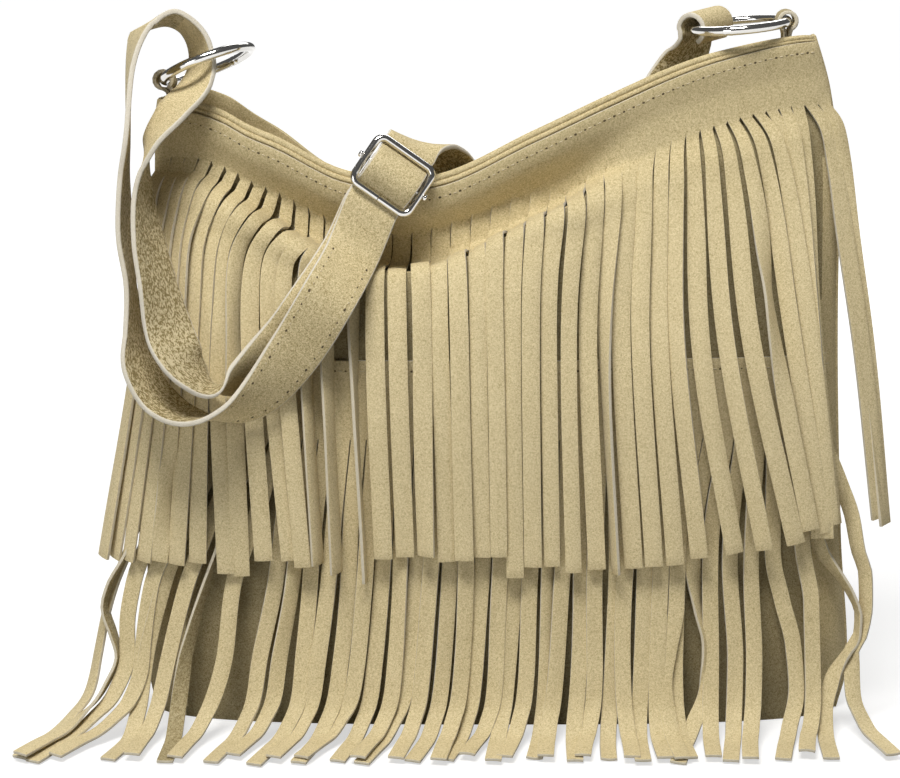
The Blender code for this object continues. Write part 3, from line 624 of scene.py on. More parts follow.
def fringeSheet(name, piece, band, centre, facing, turn, cup, wide, share, flatAt, hang):
    # the uncut band, and below it strips that turn and cup along their centre lines
    side, face = stripFrame(centre, facing)
    turn = turn[..., None]
    wideWay = side * np.cos(turn) + face * np.sin(turn)
    outWay = face * np.cos(turn) - side * np.sin(turn)
    hung = np.stack([blendOf(flatAt(k), centre + wideWay * wide * e + outWay * cup * (1 - e * e), share)
                     for k, e in enumerate(stripEdge)], 2)
    hung[..., 2] = np.maximum(hung[..., 2], piece["thick"] / 2 + strip["offFloor"])
    hung = hung.transpose(1, 0, 2, 3).reshape(piece["rows"], -1, 3)
    grid = np.concatenate([np.stack(band), hung])
    faces = fringeFaces(piece["bandRows"], piece["rows"] - 1, piece["strips"], len(stripEdge))
    # the strips' backs take the painted shade of the inside finish
    return leatherSheet(name, grid, piece["thick"], [napFringe, cutEdge, napShadeInside], faces=faces, backFinish=2,
                        rounded=strip["rounded"], uv=hangMap(hang, grid.shape[1]))


def upperFringe():
    strips, rows, bandRows = upper["strips"], upper["rows"], upper["bandRows"]
    s = np.arange(strips)
    shareGrid = upperShare(s[:, None], stripEdge[None, :])
    middle = upper["gap"] + upper["thick"] / 2
    band = []
    for portion in np.linspace(0, 1, bandRows)[:-1]:
        x, z = bandPlace(shareGrid, portion)
        band.append(onWall(x, z, middle).reshape(-1, 3))
    rootX, rootZ = bandPlace(upperShare(s, 0 * s), 1)
    edgeX, _ = bandPlace(shareGrid, 1)
    fall = curveValue([(0, 0), (0.45, 0.17), (1, 1)], np.linspace(0, 1, rows))[None, :]
    rx = rootX[:, None]
    tip = np.array(upper["tipHeights"])
    z = blendOf(rootZ[:, None], tip[:, None], fall)
    early, first = curveValue(upper["early"], s), curveValue(upper["first"], s)
    offset = np.zeros_like(z)
    for k in s:
        mid, end = upper["mids"][k] - rootX[k], upper["tips"][k] - rootX[k]
        moves = [(tip[k], end), (upper["midHeight"], mid), (upper["midHeight"] + 18, mid * early[k]),
                 (rootZ[k] - upper["firstDrop"], mid * first[k]), (rootZ[k], 0)]
        offset[k] = curveValue(moves, z[k])
    offset = offset + wander(3, strips, 3, rows) * upper["sway"] * ease(fall / 0.3) * (1 - fall)
    drop = rootZ[:, None] - z
    stand = upper["stand"] * ease(drop / (rootZ[:, None] - upper["seamHeight"] + upper["bandHeight"]))
    below = np.clip(drop / upper["bridgeDrop"], 0, 1)
    stand = stand + upper["bridge"] * np.sin(np.pi * below) * (0.15 + 0.85 * curveValue(body["foldShare"], rx))
    # each strip at the far left lies over its right neighbour, and the others lie over and under in turn
    order = np.where(s < upper["leftCount"], (upper["leftCount"] - s) * upper["leftOver"], s % 2)
    layer = upper["layer"] * (order[:, None] * ease(fall / 0.1)
                              + 0.6 * np.abs(wander(5, strips, 2, rows)) * ease(fall / 0.2))
    wallZ = np.maximum(z, upper["seamHeight"] - 2 * upper["bandHeight"])

    def placeAt(baseX, x):
        behind = blendOf(x, baseX, 0.5 * ease(fall / 0.5))
        limit = acrossAt(wallZ, np.full_like(wallZ, upper["span"]))
        lowLimit = acrossAt(wallZ, np.full_like(wallZ, -upper["span"]))
        held = np.clip(behind, lowLimit, limit)
        point = onWall(held, wallZ, middle + layer)
        facing = unit(point - onWall(held, wallZ, 0 * wallZ))
        point[..., 0] += x - held
        point[..., 1] -= stand
        point[..., 2] += z - wallZ
        return point, facing

    offset = softened(offset, upper["soften"] * 3)
    centre, facing = placeAt(rx, rx + offset)
    centre, facing = softened(centre, upper["soften"]), unit(softened(facing, upper["soften"]))
    vary = 1 + np.random.default_rng(6).normal(0, 0.05, strips)[:, None]
    wide = blendOf((edgeX[:, -1] - edgeX[:, 0])[:, None] / 2, upper["width"] * vary / 2, ease(fall / 0.3))
    turn = np.radians(curveValue(upper["twist"], s)[:, None] * (ease(fall / 0.2) - 0.5 * ease((fall - 0.5) / 0.5))
                      + wander(9, strips, 3, rows) * upper["turn"] * ease(fall / 0.25))
    for k, moves in twistUpper.items():
        turn[k] += np.radians(curveValue(moves, z[k]))
    cup = (0.4 + wander(13, strips, 2, rows) * 0.35) * ease(fall / 0.2)
    hang = np.concatenate([np.zeros(bandRows - 1), ease(fall[0] / 0.25) * 0.75 + 0.25 * fall[0]])

    def flatAt(k):
        return placeAt(edgeX[:, k, None], edgeX[:, k, None] + offset)[0]

    return fringeSheet("fringeUpper", upper, band, centre, facing, turn, cup[..., None], wide[..., None],
                       ease(fall / 0.06)[..., None], flatAt, hang)


# twists that single strips have in the photograph, by height: strip number, then height and degrees
twistUpper = {
    4: [(75, -10), (105, -60), (130, -20), (180, 0)], 7: [(75, 0), (180, -25), (215, -18), (240, 0)],
    8: [(75, -5), (140, -20), (180, -55), (205, -40), (235, 0)], 12: [(75, -48), (140, -45), (190, -18), (230, 0)],
    13: [(75, -66), (130, -62), (190, -25), (230, 0)], 14: [(70, -76), (150, -70), (195, -35), (228, 0)],
    27: [(73, 72), (150, 62), (200, 30), (245, 0)],
    35: [(90, 0), (140, -10), (170, -60), (190, -76), (210, -40), (240, 0)], 39: [(80, 30), (200, 15), (255, 0)],
}

lowerPiece = {
    "strips": 42, "thick": 1.3, "slit": 0.4, "gap": 0.7, "span": 0.95, "seamHeight": 163, "bandHeight": 34,
    "layer": 1.7, "rows": 56, "bandRows": 9, "straighten": 0.6, "lying": 31, "width": 6.9,
    # sideways reach at the third stop of the path and at the tip, by where the strip starts
    "mids": [(-140, -22), (-110, -18), (-85, -16), (-65, -10), (-30, -5), (0, -3), (40, -1), (80, 0), (110, 3),
             (143, 6)],
    "tips": [(-140, -62), (-110, -45), (-87, -38), (-60, -28), (-30, -20), (0, -14), (40, -6), (80, 1),
             (110, 8), (143, 20)],
    # side view: forward, height
    "path": [(0, 129), (0.4, 100), (1.5, 64), (5, 33), (12.5, 11), (25, 2.1), (43, 1.2)],
    "sway": 1.6, "turn": 14.0, "uneven": 3.0, "flat": (0.302, 0.200), "flatArea": 0.0575,
}
# strips at both ends, and beside the opening at the right, follow the photograph: stop on the path, and across;
# each route starts at the strip's own root
lowerRoutes = {
    0: [(1, -150), (1.6, -157), (2, -163), (2.5, -168), (3, -171), (3.6, -174), (4.2, -181), (5, -190), (6, -199)],
    1: [(1, -146), (1.65, -158), (2, -165), (2.3, -167.5), (2.7, -164), (3, -162), (3.5, -167), (4.2, -177),
        (5, -187), (6, -198)],
    2: [(1, -140), (2, -155), (2.6, -158), (3, -158), (3.6, -163), (4.2, -172), (5, -183), (6, -193)],
    3: [(1, -130), (2, -147), (2.8, -151), (3.2, -152), (3.8, -157), (4.4, -165), (5, -173), (6, -184)],
    4: [(1, -128), (2, -142), (3, -150), (4, -153), (5, -156), (6, -162)],
    5: [(1, -118), (2, -132), (3, -140), (4, -145), (5, -149), (6, -152)],
    6: [(1, -113), (2, -124), (2.6, -130), (3, -133), (4, -136), (5, -137), (6, -138)],
    7: [(1, -100), (2, -112), (3, -116), (4, -123), (5, -129), (6, -134)],
    33: [(1.6, 77), (2.25, 76.8), (2.75, 74.3), (3.4, 71.8), (3.9, 73), (6, 77)],
    34: [(1.6, 83.5), (2.25, 86), (2.75, 90), (3.4, 90.5), (4.2, 85), (5, 80), (6, 75)],
    35: [(1.6, 91), (3, 92), (6, 90)], 36: [(1.6, 99.5), (3, 102.5), (4.5, 101), (6, 97)],
    37: [(1.6, 108.5), (3, 110.5), (6, 105)],
    38: [(1.6, 118), (2.2, 122.5), (2.8, 127.5), (3.5, 129), (4.5, 125), (6, 119)],
    39: [(1.6, 131), (2.2, 135), (3.4, 136), (6, 129)],
    40: [(1.2, 134), (1.6, 139), (1.85, 145.5), (2.1, 151.5), (2.45, 156), (2.75, 155.5), (3, 151), (3.4, 145),
         (4, 141), (6, 139)],
    41: [(0.8, 147), (1.2, 152), (1.6, 155), (1.9, 158.5), (2.3, 159), (2.7, 157), (3, 153), (3.6, 153),
         (4.5, 157), (6, 165)],
}
# twists that single lower strips have, by stop on the path: strip number, then stop and degrees
twistLower = {
    0: [(0, 0), (2, 25), (3.5, 20), (5, 0)], 1: [(0, 0), (1.2, 60), (2, 80), (3.4, 75), (4.6, 10), (5.4, 0)],
    4: [(0, 0), (1.5, -20), (3, -15), (5, 0)],
    6: [(0, 0), (1, 50), (2, 115), (3, 140), (4, 170), (5, 180), (6, 180)],
    9: [(0, 0), (2, -30), (4, 0)], 15: [(0, 0), (2, 35), (4, 0)], 24: [(0, 0), (2.5, -35), (4, 0)],
    34: [(0, 0), (1.6, -20), (2.3, -72), (2.9, -58), (3.6, 0), (6, 0)],
    40: [(0, 0), (1.4, 30), (1.9, 75), (2.6, 98), (3, 90), (3.5, 30), (4.2, 0)],
    41: [(0, 0), (1, 45), (2, 65), (2.8, 72), (3.3, 20), (4, 0)],
}


def lowerFringe():
    strips, rows, bandRows = lowerPiece["strips"], lowerPiece["rows"], lowerPiece["bandRows"]
    s = np.arange(strips)
    middle = lowerPiece["gap"] + lowerPiece["thick"] / 2
    rootZ = lowerPiece["seamHeight"] - lowerPiece["bandHeight"]
    left, right = sides(rootZ)
    pitch = lowerPiece["span"] * (right - left) / strips
    cutShare = 1 - lowerPiece["slit"] / pitch
    shareGrid = lowerPiece["span"] * (2 * (s[:, None] + 0.5 + stripEdge * 0.5 * cutShare) / strips - 1)
    band = []
    for z in np.linspace(lowerPiece["seamHeight"], rootZ, bandRows)[:-1]:
        zs = np.full_like(shareGrid, z)
        band.append(onWall(acrossAt(zs, shareGrid), zs, middle).reshape(-1, 3))
    k = np.linspace(0, len(lowerPiece["path"]) - 1, rows)
    table = lowerPiece["path"]
    forward, height = (curveValue([(n, row[j]) for n, row in enumerate(table)], k)[None, :] for j in range(2))
    rootX = acrossAt(np.full(strips, float(rootZ)), lowerPiece["span"] * ((2 * s + 1) / strips - 1))
    rx = rootX[:, None]
    reach = 1 + chance.normal(0, 0.05, strips)[:, None]
    lift = lowerPiece["layer"] * ((s % 2)[:, None] + 0.6 * np.abs(wander(25, strips, 2, rows)))
    lift = lift * np.minimum(1, k / 1.5)[None, :]
    slope = unit(np.gradient(np.stack([forward[0], height[0]], -1), axis=0))
    straighten = lowerPiece["straighten"] * ease(1 - height / lowerPiece["lying"])
    wallZ = np.maximum(height, body["baseBlend"]) * np.ones((strips, 1))
    uneven = chance.normal(0, lowerPiece["uneven"], strips)
    offset = np.zeros((strips, rows))
    for n in s:
        mid, end = curveValue(lowerPiece["mids"], rootX[n]), curveValue(lowerPiece["tips"], rootX[n]) + uneven[n]
        offset[n] = curveValue([(0, 0), (1, mid * 0.3), (2, mid * 0.6), (3, mid), (3.6, mid + 0.12 * (end - mid)),
                                (4.4, mid + 0.4 * (end - mid)), (6, end)], k)
    offset = offset + wander(21, strips, 3, rows) * lowerPiece["sway"] * ease(k / 2)[None, :]
    for n, moves in lowerRoutes.items():
        offset[n] = curveValue([(0, rootX[n])] + moves, k) - rootX[n]

    def placeAt(baseX):
        stand = onWall(baseX * np.ones_like(wallZ), wallZ, middle)
        facing = unit(stand - onWall(baseX * np.ones_like(wallZ), wallZ, 0 * wallZ))
        y = blendOf(stand[..., 1], -body["baseDepth"] / 2, straighten) - forward * reach + lift * slope[:, 1]
        x = stand[..., 0] + offset
        z = height + lift * np.abs(slope[:, 0]) + 0 * x
        return np.stack([x, y, z], -1), facing

    centre, facing = placeAt(rx)
    # the way the strip faces turns from the wall's to straight up as it lies down
    flatness = ease((k - 2.5) / 2.2)[None, :, None]
    facing = unit(blendOf(facing, np.array([0.0, 0.0, 1.0]), flatness))
    turn = np.radians(wander(29, strips, 3, rows) * lowerPiece["turn"] * ease(k / 1.5)[None, :])
    turn = turn * (1 - 0.85 * flatness[..., 0])
    for n, moves in twistLower.items():
        turn[n] += np.radians(curveValue(moves, k))
    cup = wander(33, strips, 2, rows) * 0.4
    half = (pitch - lowerPiece["slit"]) / 2
    wide = blendOf(half, lowerPiece["width"] / 2, ease(k / 1.5))[None, :, None]
    hang = np.concatenate([np.full(bandRows - 1, 0.5), 0.5 + 0.5 * ease((k - 1.5) / 4)])
    return fringeSheet("fringeLower", lowerPiece, band, centre, facing, turn, cup[..., None], wide,
                       ease(k / 0.9)[None, :, None], lambda n: placeAt(rx + stripEdge[n] * half)[0], hang)


fringeUpper = upperFringe()
fringeLower = lowerFringe()
print("fringe made")


# rings and tabs

rings = {
    "radius": 19.3, "wire": 4.0, "leftCentre": (-121.4, 0, 283.0), "rightCentre": (102.0, 1.0, 299.2),
    "leftTilt": 21, "rightTilt": 5.8, "leftLift": 12.5, "rightLift": -1.5,
    "leftWeld": 300, "rightWeld": 112, "weldBulge": 0.16, "strapAt": 142,
}


def ringAxes(tilt, lift):
    tilt, lift = math.radians(tilt), math.radians(lift)
    longWay = np.array([math.cos(tilt), 0, math.sin(tilt)])
    front = np.array([0, -math.cos(lift), math.sin(lift)])
    front = unit(front - longWay * front.dot(longWay))
    return longWay, front, np.cross(longWay, front)


def ringPiece(name, centre, tilt, lift, weldAt):
    longWay, front, axis = ringAxes(tilt, lift)
    angle = np.radians(np.arange(0, 360, 2.5))
    path = np.array(centre) + (np.cos(angle)[:, None] * longWay + np.sin(angle)[:, None] * front) * rings["radius"]
    away = np.degrees(np.abs((angle - math.radians(weldAt) + np.pi) % (2 * np.pi) - np.pi))
    bead = rings["weldBulge"] * (np.exp(-((away - 3.2) / 1.6) ** 2) - 0.9 * np.exp(-(away / 1.3) ** 2))
    return tubePiece(name, path, rings["wire"] / 2 + bead, 20, True, axis, [nickel])


tab = {"width": 9.0, "thick": 1.6, "ease": 0.6, "clear": 0.3, "inset": 4.5, "depth": 12}


def ribbonPiece(name, stations, width, thick, finishes, spacing, corner, wobble=0.0, seed=1, turnedFrom=2):
    # a flat band with softened corners through stations, each a centre and the way of its width; past the share
    # turnedFrom of its length its rough side is the other one
    centres = np.array([s[0] for s in stations], float)
    ways = np.array([s[1] for s in stations], float)
    both = np.hstack([centres, ways])
    last = len(both) - 1
    made = []
    for k in range(last):
        steps = max(1, int(round(np.linalg.norm(centres[k + 1] - centres[k]) / spacing)))
        t = (np.arange(steps) / steps)[:, None]
        a, b, c, d = (both[min(max(j, 0), last)] for j in (k - 1, k, k + 1, k + 2))
        square, cube = 2 * a - 5 * b + 4 * c - d, 3 * b - a - 3 * c + d
        made.append(0.5 * (2 * b + (c - a) * t + square * t**2 + cube * t**3))
    path, way = np.split(np.concatenate(made + [both[-1:]]), 2, axis=1)
    count = len(path)
    along = unit(np.gradient(path, axis=0))
    side = unit(way - along * (way * along).sum(1, keepdims=True))
    face = unit(np.cross(along, side))
    run = np.concatenate([[0], np.cumsum(np.linalg.norm(np.diff(path, axis=0), axis=1))])
    edgeWave = wander(seed, 2, 9, count) * wobble
    h, w, c = thick / 2, width / 2, corner
    section = [(w, h - c), (w - c * 0.3, h - c * 0.3), (w - c, h)]
    section += [(w * a, h) for a in (0.66, 0.33, 0, -0.33, -0.66)]
    section += [(c - w, h), (c * 0.3 - w, h - c * 0.3), (-w, h - c)]
    section += [(-a, -b) for a, b in section]
    n = len(section)
    points = np.stack([path + side * (a + (edgeWave[0 if a > 0 else 1] * (abs(a) > w * 0.5))[:, None]) + face * b
                       for a, b in section], 1)
    faces, finish = [], []
    kinds = [1 if abs(section[j][0]) > w - c * 0.6 or abs(section[(j + 1) % n][0]) > w - c * 0.6 else
             (0 if section[j][1] > 0 else 2) for j in range(n)]
    for k in range(count - 1):
        for j in range(n):
            faces.append((k * n + j, (k + 1) * n + j, (k + 1) * n + (j + 1) % n, k * n + (j + 1) % n))
            finish.append(2 - kinds[j] if k > turnedFrom * count else kinds[j])
    faces.append(tuple(range(n)))
    faces.append(tuple(reversed([(count - 1) * n + j for j in range(n)])))
    finish += [1, 1]
    uv = [(a * mm, at * mm) for at in run for a, _ in section]
    piece = meshPiece(name, points, faces, finishes, finish, uv, sharp=55)
    return piece, path, side, face, run


def cornerTab(name, centre, tilt, lift, end):
    longWay, front, _ = ringAxes(tilt, lift)
    wire = np.array(centre) + longWay * rings["radius"] * end
    loop = (rings["wire"] + tab["thick"]) / 2 + tab["clear"] + tab["ease"]
    leg = (tab["thick"] + tab["clear"]) / 2
    left, right = sides(wire[2])
    corner = left if end < 0 else right
    footX = corner - end * max(abs(corner) - abs(wire[0]), tab["inset"])
    footZ = float(edgeHeight(footX) + curveValue(body["foldRise"], footX)) - tab["depth"]
    path = [(footX + leg, footZ), (footX + leg, wire[2] - 1.5 * loop)]
    for k in range(13):
        angle = math.radians(-54 + 24 * k)
        path.append((wire[0] + math.cos(angle) * loop, wire[2] + math.sin(angle) * loop))
    path += [(footX - leg, wire[2] - 1.5 * loop), (footX - leg, footZ)]
    stops = [((x, centre[1], z), -front if z > wire[2] - loop else (0, 1, 0)) for x, z in path]
    return ribbonPiece(name, stops, tab["width"], tab["thick"], [napOuter, cutEdge, napShadeInside],
                       spacing=1.2, corner=0.4)[0]


leftAxes, rightAxes = ([rings[side + key] for key in ("Centre", "Tilt", "Lift")] for side in ("left", "right"))
leftRing = ringPiece("ringLeftFine", *leftAxes, rings["leftWeld"])
rightRing = ringPiece("ringRightFine", *rightAxes, rings["rightWeld"])
leftTab = cornerTab("tabLeftFine", *leftAxes, -1)
rightTab = cornerTab("tabRightFine", *rightAxes, 1)


# buckle

buckle = {
    "centre": (-43.1, -26.5, 239.5), "wire": 3.2, "length": 25.6, "sideGap": 0.6, "corner": 3.6, "butt": 0.4,
    "pinWidth": 2.6, "tenon": 1.4, "head": 3.0, "headLength": 1.3, "gap": 0.3,
}
strapSize = {"width": 23, "thick": 2.2, "sideShare": 0.8, "turnedFrom": 0.655, "clear": 0.3, "offWall": 3.8}


def buckleAxes():
    along = unit(np.array([0.55, 0.30, 0.78]))
    across = np.array([0.82, 0, -0.57])
    across = unit(across - along * across.dot(along))
    return along, across, unit(np.cross(across, along))


def halfWidth():
    return strapSize["width"] / 2 + buckle["sideGap"] + buckle["wire"] / 2


def buckleFrame():
    along, across, out = buckleAxes()
    half, reach, corner = (buckle["length"] - buckle["wire"]) / 2, halfWidth(), buckle["corner"]
    path = [across * a - along * half for a in np.linspace(buckle["butt"] / 2, reach - corner - 1, 12)]
    for sx, sy, start in ((1, -1, -90), (1, 1, 0), (-1, 1, 90), (-1, -1, 180)):
        middle = across * sx * (reach - corner) + along * sy * (half - corner)
        for k in range(13):
            angle = math.radians(start + 7.5 * k)
            path.append(middle + (across * math.cos(angle) + along * math.sin(angle)) * corner)
    path += [-across * a - along * half for a in np.linspace(reach - corner - 1, buckle["butt"] / 2, 12)]
    return tubePiece("buckleWire", np.array(path) + np.array(buckle["centre"]), buckle["wire"] / 2, 18, False, out,
                     [nickel])


def bucklePin():
    _, across, out = buckleAxes()
    half = halfWidth()
    inside = half - buckle["wire"] / 2 - buckle["gap"]
    outside = half + buckle["wire"] / 2 + buckle["gap"]
    long, wide = buckle["headLength"], buckle["head"] / 2
    thick, thin = buckle["pinWidth"] / 2, buckle["tenon"] / 2
    ends = [(outside, wide * 0.92), (outside + 0.15, wide), (outside + long * 0.55, wide),
            (outside + long * 0.85, wide * 0.8), (outside + long, wide * 0.45)]
    shaft = [(inside - 0.3, thick), (inside, thick - 0.15), (inside + 0.02, thin), (outside - 0.02, thin)]
    stops = [(-a, r) for a, r in reversed(shaft + ends)] + shaft + ends
    path = np.array([across * a for a, _ in stops]) + np.array(buckle["centre"])
    return tubePiece("bucklePinFine", path, [r for _, r in stops], 20, False, out, [nickel], sharp=50)


frameWire = buckleFrame()
pinFine = bucklePin()
print("hardware made")


# strap

strapRoute = {
    "back": [(82, 286, 6.5, (-0.7, -0.6, 0.3)), (76, 274, 6, (-0.9, -0.3, 0.4)), (66, 258, 5, (-0.8, -0.1, 0.6)),
             (52, 237, 4.5, (-0.8, -0.1, 0.6)), (34, 217, 4, (-0.6, -0.1, 0.8)), (12, 208, 4, (-0.1, -0.2, 1)),
             (-8, 217, 4.5, (0.5, -0.1, 0.8)), (-19, 235, 3.5, (0.9, -0.1, 0.5))],
    "crossing": [(-26, 245.5, 6, (0.9, -0.4, 0.2)), (-31, 249.5, -3, (0.9, -0.4, -0.1)),
                 (-34.5, 251, -11, (0.9, -0.2, -0.4))],
    "front": [(-60, 208, 16, (0.8, 0, -0.6)), (-68, 195, 12, (0.8, 0, -0.6)), (-82, 172, 9, (0.8, 0.2, -0.5)),
              (-98, 152, 12, (0.5, 0.6, -0.6)), (-114, 144, 17, (0.2, 0.9, -0.3)), (-129, 144, 17, (0.1, 1, 0.1)),
              (-140, 150, 12, (0.3, 0.9, 0.2)), (-147, 161, 9, (0.4, 0.9, 0.1)), (-150, 175, 4, (0.2, 1, 0)),
              (-152, 195, 1.5, (0, 1, 0)), (-154, 216, 1.5, (0.1, 1, 0)), (-154, 240, 9.5, (0, 1, 0)),
              (-152, 258, 3.5, (-0.1, 1, 0)), (-151, 282, -4, (-0.2, 1, 0)), (-148, 296, -10, (-0.3, 0.9, 0)),
              (-144, 300, -14, (-0.3, 0.9, -0.2)), (-136, 302.5, -18.5, (-0.3, 0.9, -0.3)),
              (-129, 299, -20, (-0.4, 0.9, -0.2)), (-124.5, 292, -20, (-0.5, 0.9, -0.1)),
              (-123.5, 284, -18.5, (-0.5, 0.9, 0)), (-126, 275.5, -12, (-0.5, 0.9, 0.1)),
              (-133.5, 265.5, 1, (-0.4, 0.9, 0.2)), (-141.5, 254.5, 8, (-0.3, 1, 0.1)), (-145, 243, 13, (0, 1, 0)),
              (-145.5, 231, 12, (0.2, 1, 0)), (-143, 213, 8.5, (0.4, 0.9, 0)), (-139, 196, 12, (0.5, 0.8, 0)),
              (-135, 180, 15, (0.7, 0.7, 0.1)), (-130.5, 170.5, 19, (0.6, 0.7, 0.2)),
              (-124.5, 162, 19, (0.4, 0.9, 0.1)), (-115, 155.5, 15, (0.3, 0.9, -0.2)),
              (-103, 160.5, 9.5, (0.5, 0.7, -0.5)), (-86.5, 174, 5, (0.8, 0.2, -0.6)),
              (-75.5, 188.5, 5.5, (0.8, 0, -0.6)), (-61.5, 208, 11.5, (0.8, 0, -0.6))],
}


def nearWall(x, z, stand, back=False):
    left, right = sides(z)
    share = (2 * x - left - right) / (right - left)
    wallX = acrossAt(z, np.clip(share, -strapSize["sideShare"], strapSize["sideShare"]))
    face = 0 if back else strapSize["offWall"] + upper["stand"]
    return np.array([x, onWall(wallX, z, 0, back)[1] + (1 if back else -1) * (face + stand), z])


def ringLoop():
    longWay, front, _ = ringAxes(rings["rightTilt"], rings["rightLift"])
    at = math.radians(rings["strapAt"])
    spoke = longWay * math.cos(at) - front * math.sin(at)
    widthWay = -longWay * math.sin(at) - front * math.cos(at)
    slant = math.cos(math.asin(strapSize["width"] / 2 / rings["radius"]))
    sagitta = rings["radius"] * (1 - slant)
    loop = (rings["wire"] / slant + sagitta + strapSize["thick"]) / 2 + 2 * strapSize["clear"]
    middle = np.array(rings["rightCentre"]) + spoke * (rings["radius"] - sagitta / 2)
    lift = unit(np.cross(widthWay, spoke))
    lift = lift if lift[2] > 0 else -lift
    return [(middle + (-spoke * math.cos(math.radians(d)) + lift * math.sin(math.radians(d))) * loop, widthWay)
            for d in range(-65, 215, 30)]


def weave():
    along, across, out = buckleAxes()
    bar = (buckle["length"] - buckle["wire"]) / 2
    under = (buckle["wire"] + strapSize["thick"]) / 2 + strapSize["clear"]
    over = (buckle["pinWidth"] + strapSize["thick"]) / 2 + strapSize["thick"] + 2 * strapSize["clear"]
    stops = [(1, -1.03), (0.75, -0.57), (0.55, 0.65)]
    path = [(1.35 * bar, -1.5 * under)] + [(bar * s, under * n) for s, n in stops]
    path += [(0.28 * bar, 0.86 * over), (0, over * 1.02), (-0.28 * bar, 0.86 * over)]
    path += [(-bar * s, under * n) for s, n in reversed(stops)] + [(-1.4 * bar, -0.95 * under)]
    return [(np.array(buckle["centre"]) + along * s + out * n, across) for s, n in path]


def pinLoop():
    along, across, out = buckleAxes()
    bar = (buckle["length"] - buckle["wire"]) / 2
    behind = (buckle["wire"] + strapSize["thick"]) / 2 + strapSize["thick"] + 3 * strapSize["clear"]
    loop = (buckle["pinWidth"] + strapSize["thick"]) / 2 + strapSize["clear"]
    path = [(-1.5 * bar, -behind), (-bar, -behind), (-0.6 * bar, -behind), (-0.25 * bar, -1.5 * loop)]
    around = [math.radians(d) for d in (-75, -35, 5, 45, 85, 125)]
    path += [(loop * 1.03 * math.cos(a), loop * 1.03 * math.sin(a)) for a in around]
    path += [(-0.36 * bar, -0.1 * loop), (-0.46 * bar, -0.6 * loop)]
    return [(np.array(buckle["centre"]) + along * s + out * n, across) for s, n in path]


def strapPiece():
    route = ringLoop()
    for x, z, stand, way in strapRoute["back"]:
        route.append((nearWall(x, z, stand + strapSize["thick"] / 2, True), way))
    route += [((x, y, z), way) for x, z, y, way in strapRoute["crossing"]]
    route += weave()
    for x, z, stand, way in strapRoute["front"]:
        route.append((nearWall(x, z, stand), way))
    route += pinLoop()
    return ribbonPiece("strapFine", route, strapSize["width"], strapSize["thick"], [napStrap, strapEdge, napRough],
                       spacing=1.6, corner=0.5, wobble=0.12, seed=41, turnedFrom=strapSize["turnedFrom"])


strapFine, strapPath, strapSide, strapFace, strapRun = strapPiece()
print("strap made,", round(float(strapRun[-1])), "mm long")


# stitches, by Geometry Nodes: holes of painted shade and short threads set along a line on the leather

# each row: its pitch, how far it lies below or inside the edge, how far it stands up, and its threads' length
stitch = {
    "yokePitch": 4.4, "yokeBelow": 4.0, "yokeStand": -0.04, "yokeThread": 1.6,
    "lowerPitch": 4.6, "lowerBelow": 4.5, "lowerStand": -0.02, "lowerThread": 2.0,
    "strapPitch": 6.0, "strapInset": 3.3, "strapStand": 0.08, "strapThread": 0.7,
    "strapFrom": (-58, -45, 210), "strapTo": (-108, -62, 146), "strapAhead": 4,
    "holeSize": 0.46, "threadWidth": 0.42, "endShare": 0.985,
}


def lineMesh(name, points, faces):
    mesh = bpy.data.meshes.new(name)
    points = np.asarray(points)
    mesh.from_pydata([tuple(p * mm) for p in points], [(k, k + 1) for k in range(len(points) - 1)], [])
    out = mesh.attributes.new("facing", "FLOAT_VECTOR", "POINT")
    out.data.foreach_set("vector", np.asarray(faces, float).ravel())
    return linked(name, mesh)


def nodeGroup(name, inputs):
    group = bpy.data.node_groups.new(name, "GeometryNodeTree")
    group.interface.new_socket("Geometry", in_out="INPUT", socket_type="NodeSocketGeometry")
    for key, kind, value in inputs:
        made = group.interface.new_socket(key, in_out="INPUT", socket_type=kind)
        if value is not None:
            made.default_value = value
    group.interface.new_socket("Geometry", in_out="OUTPUT", socket_type="NodeSocketGeometry")
    return group


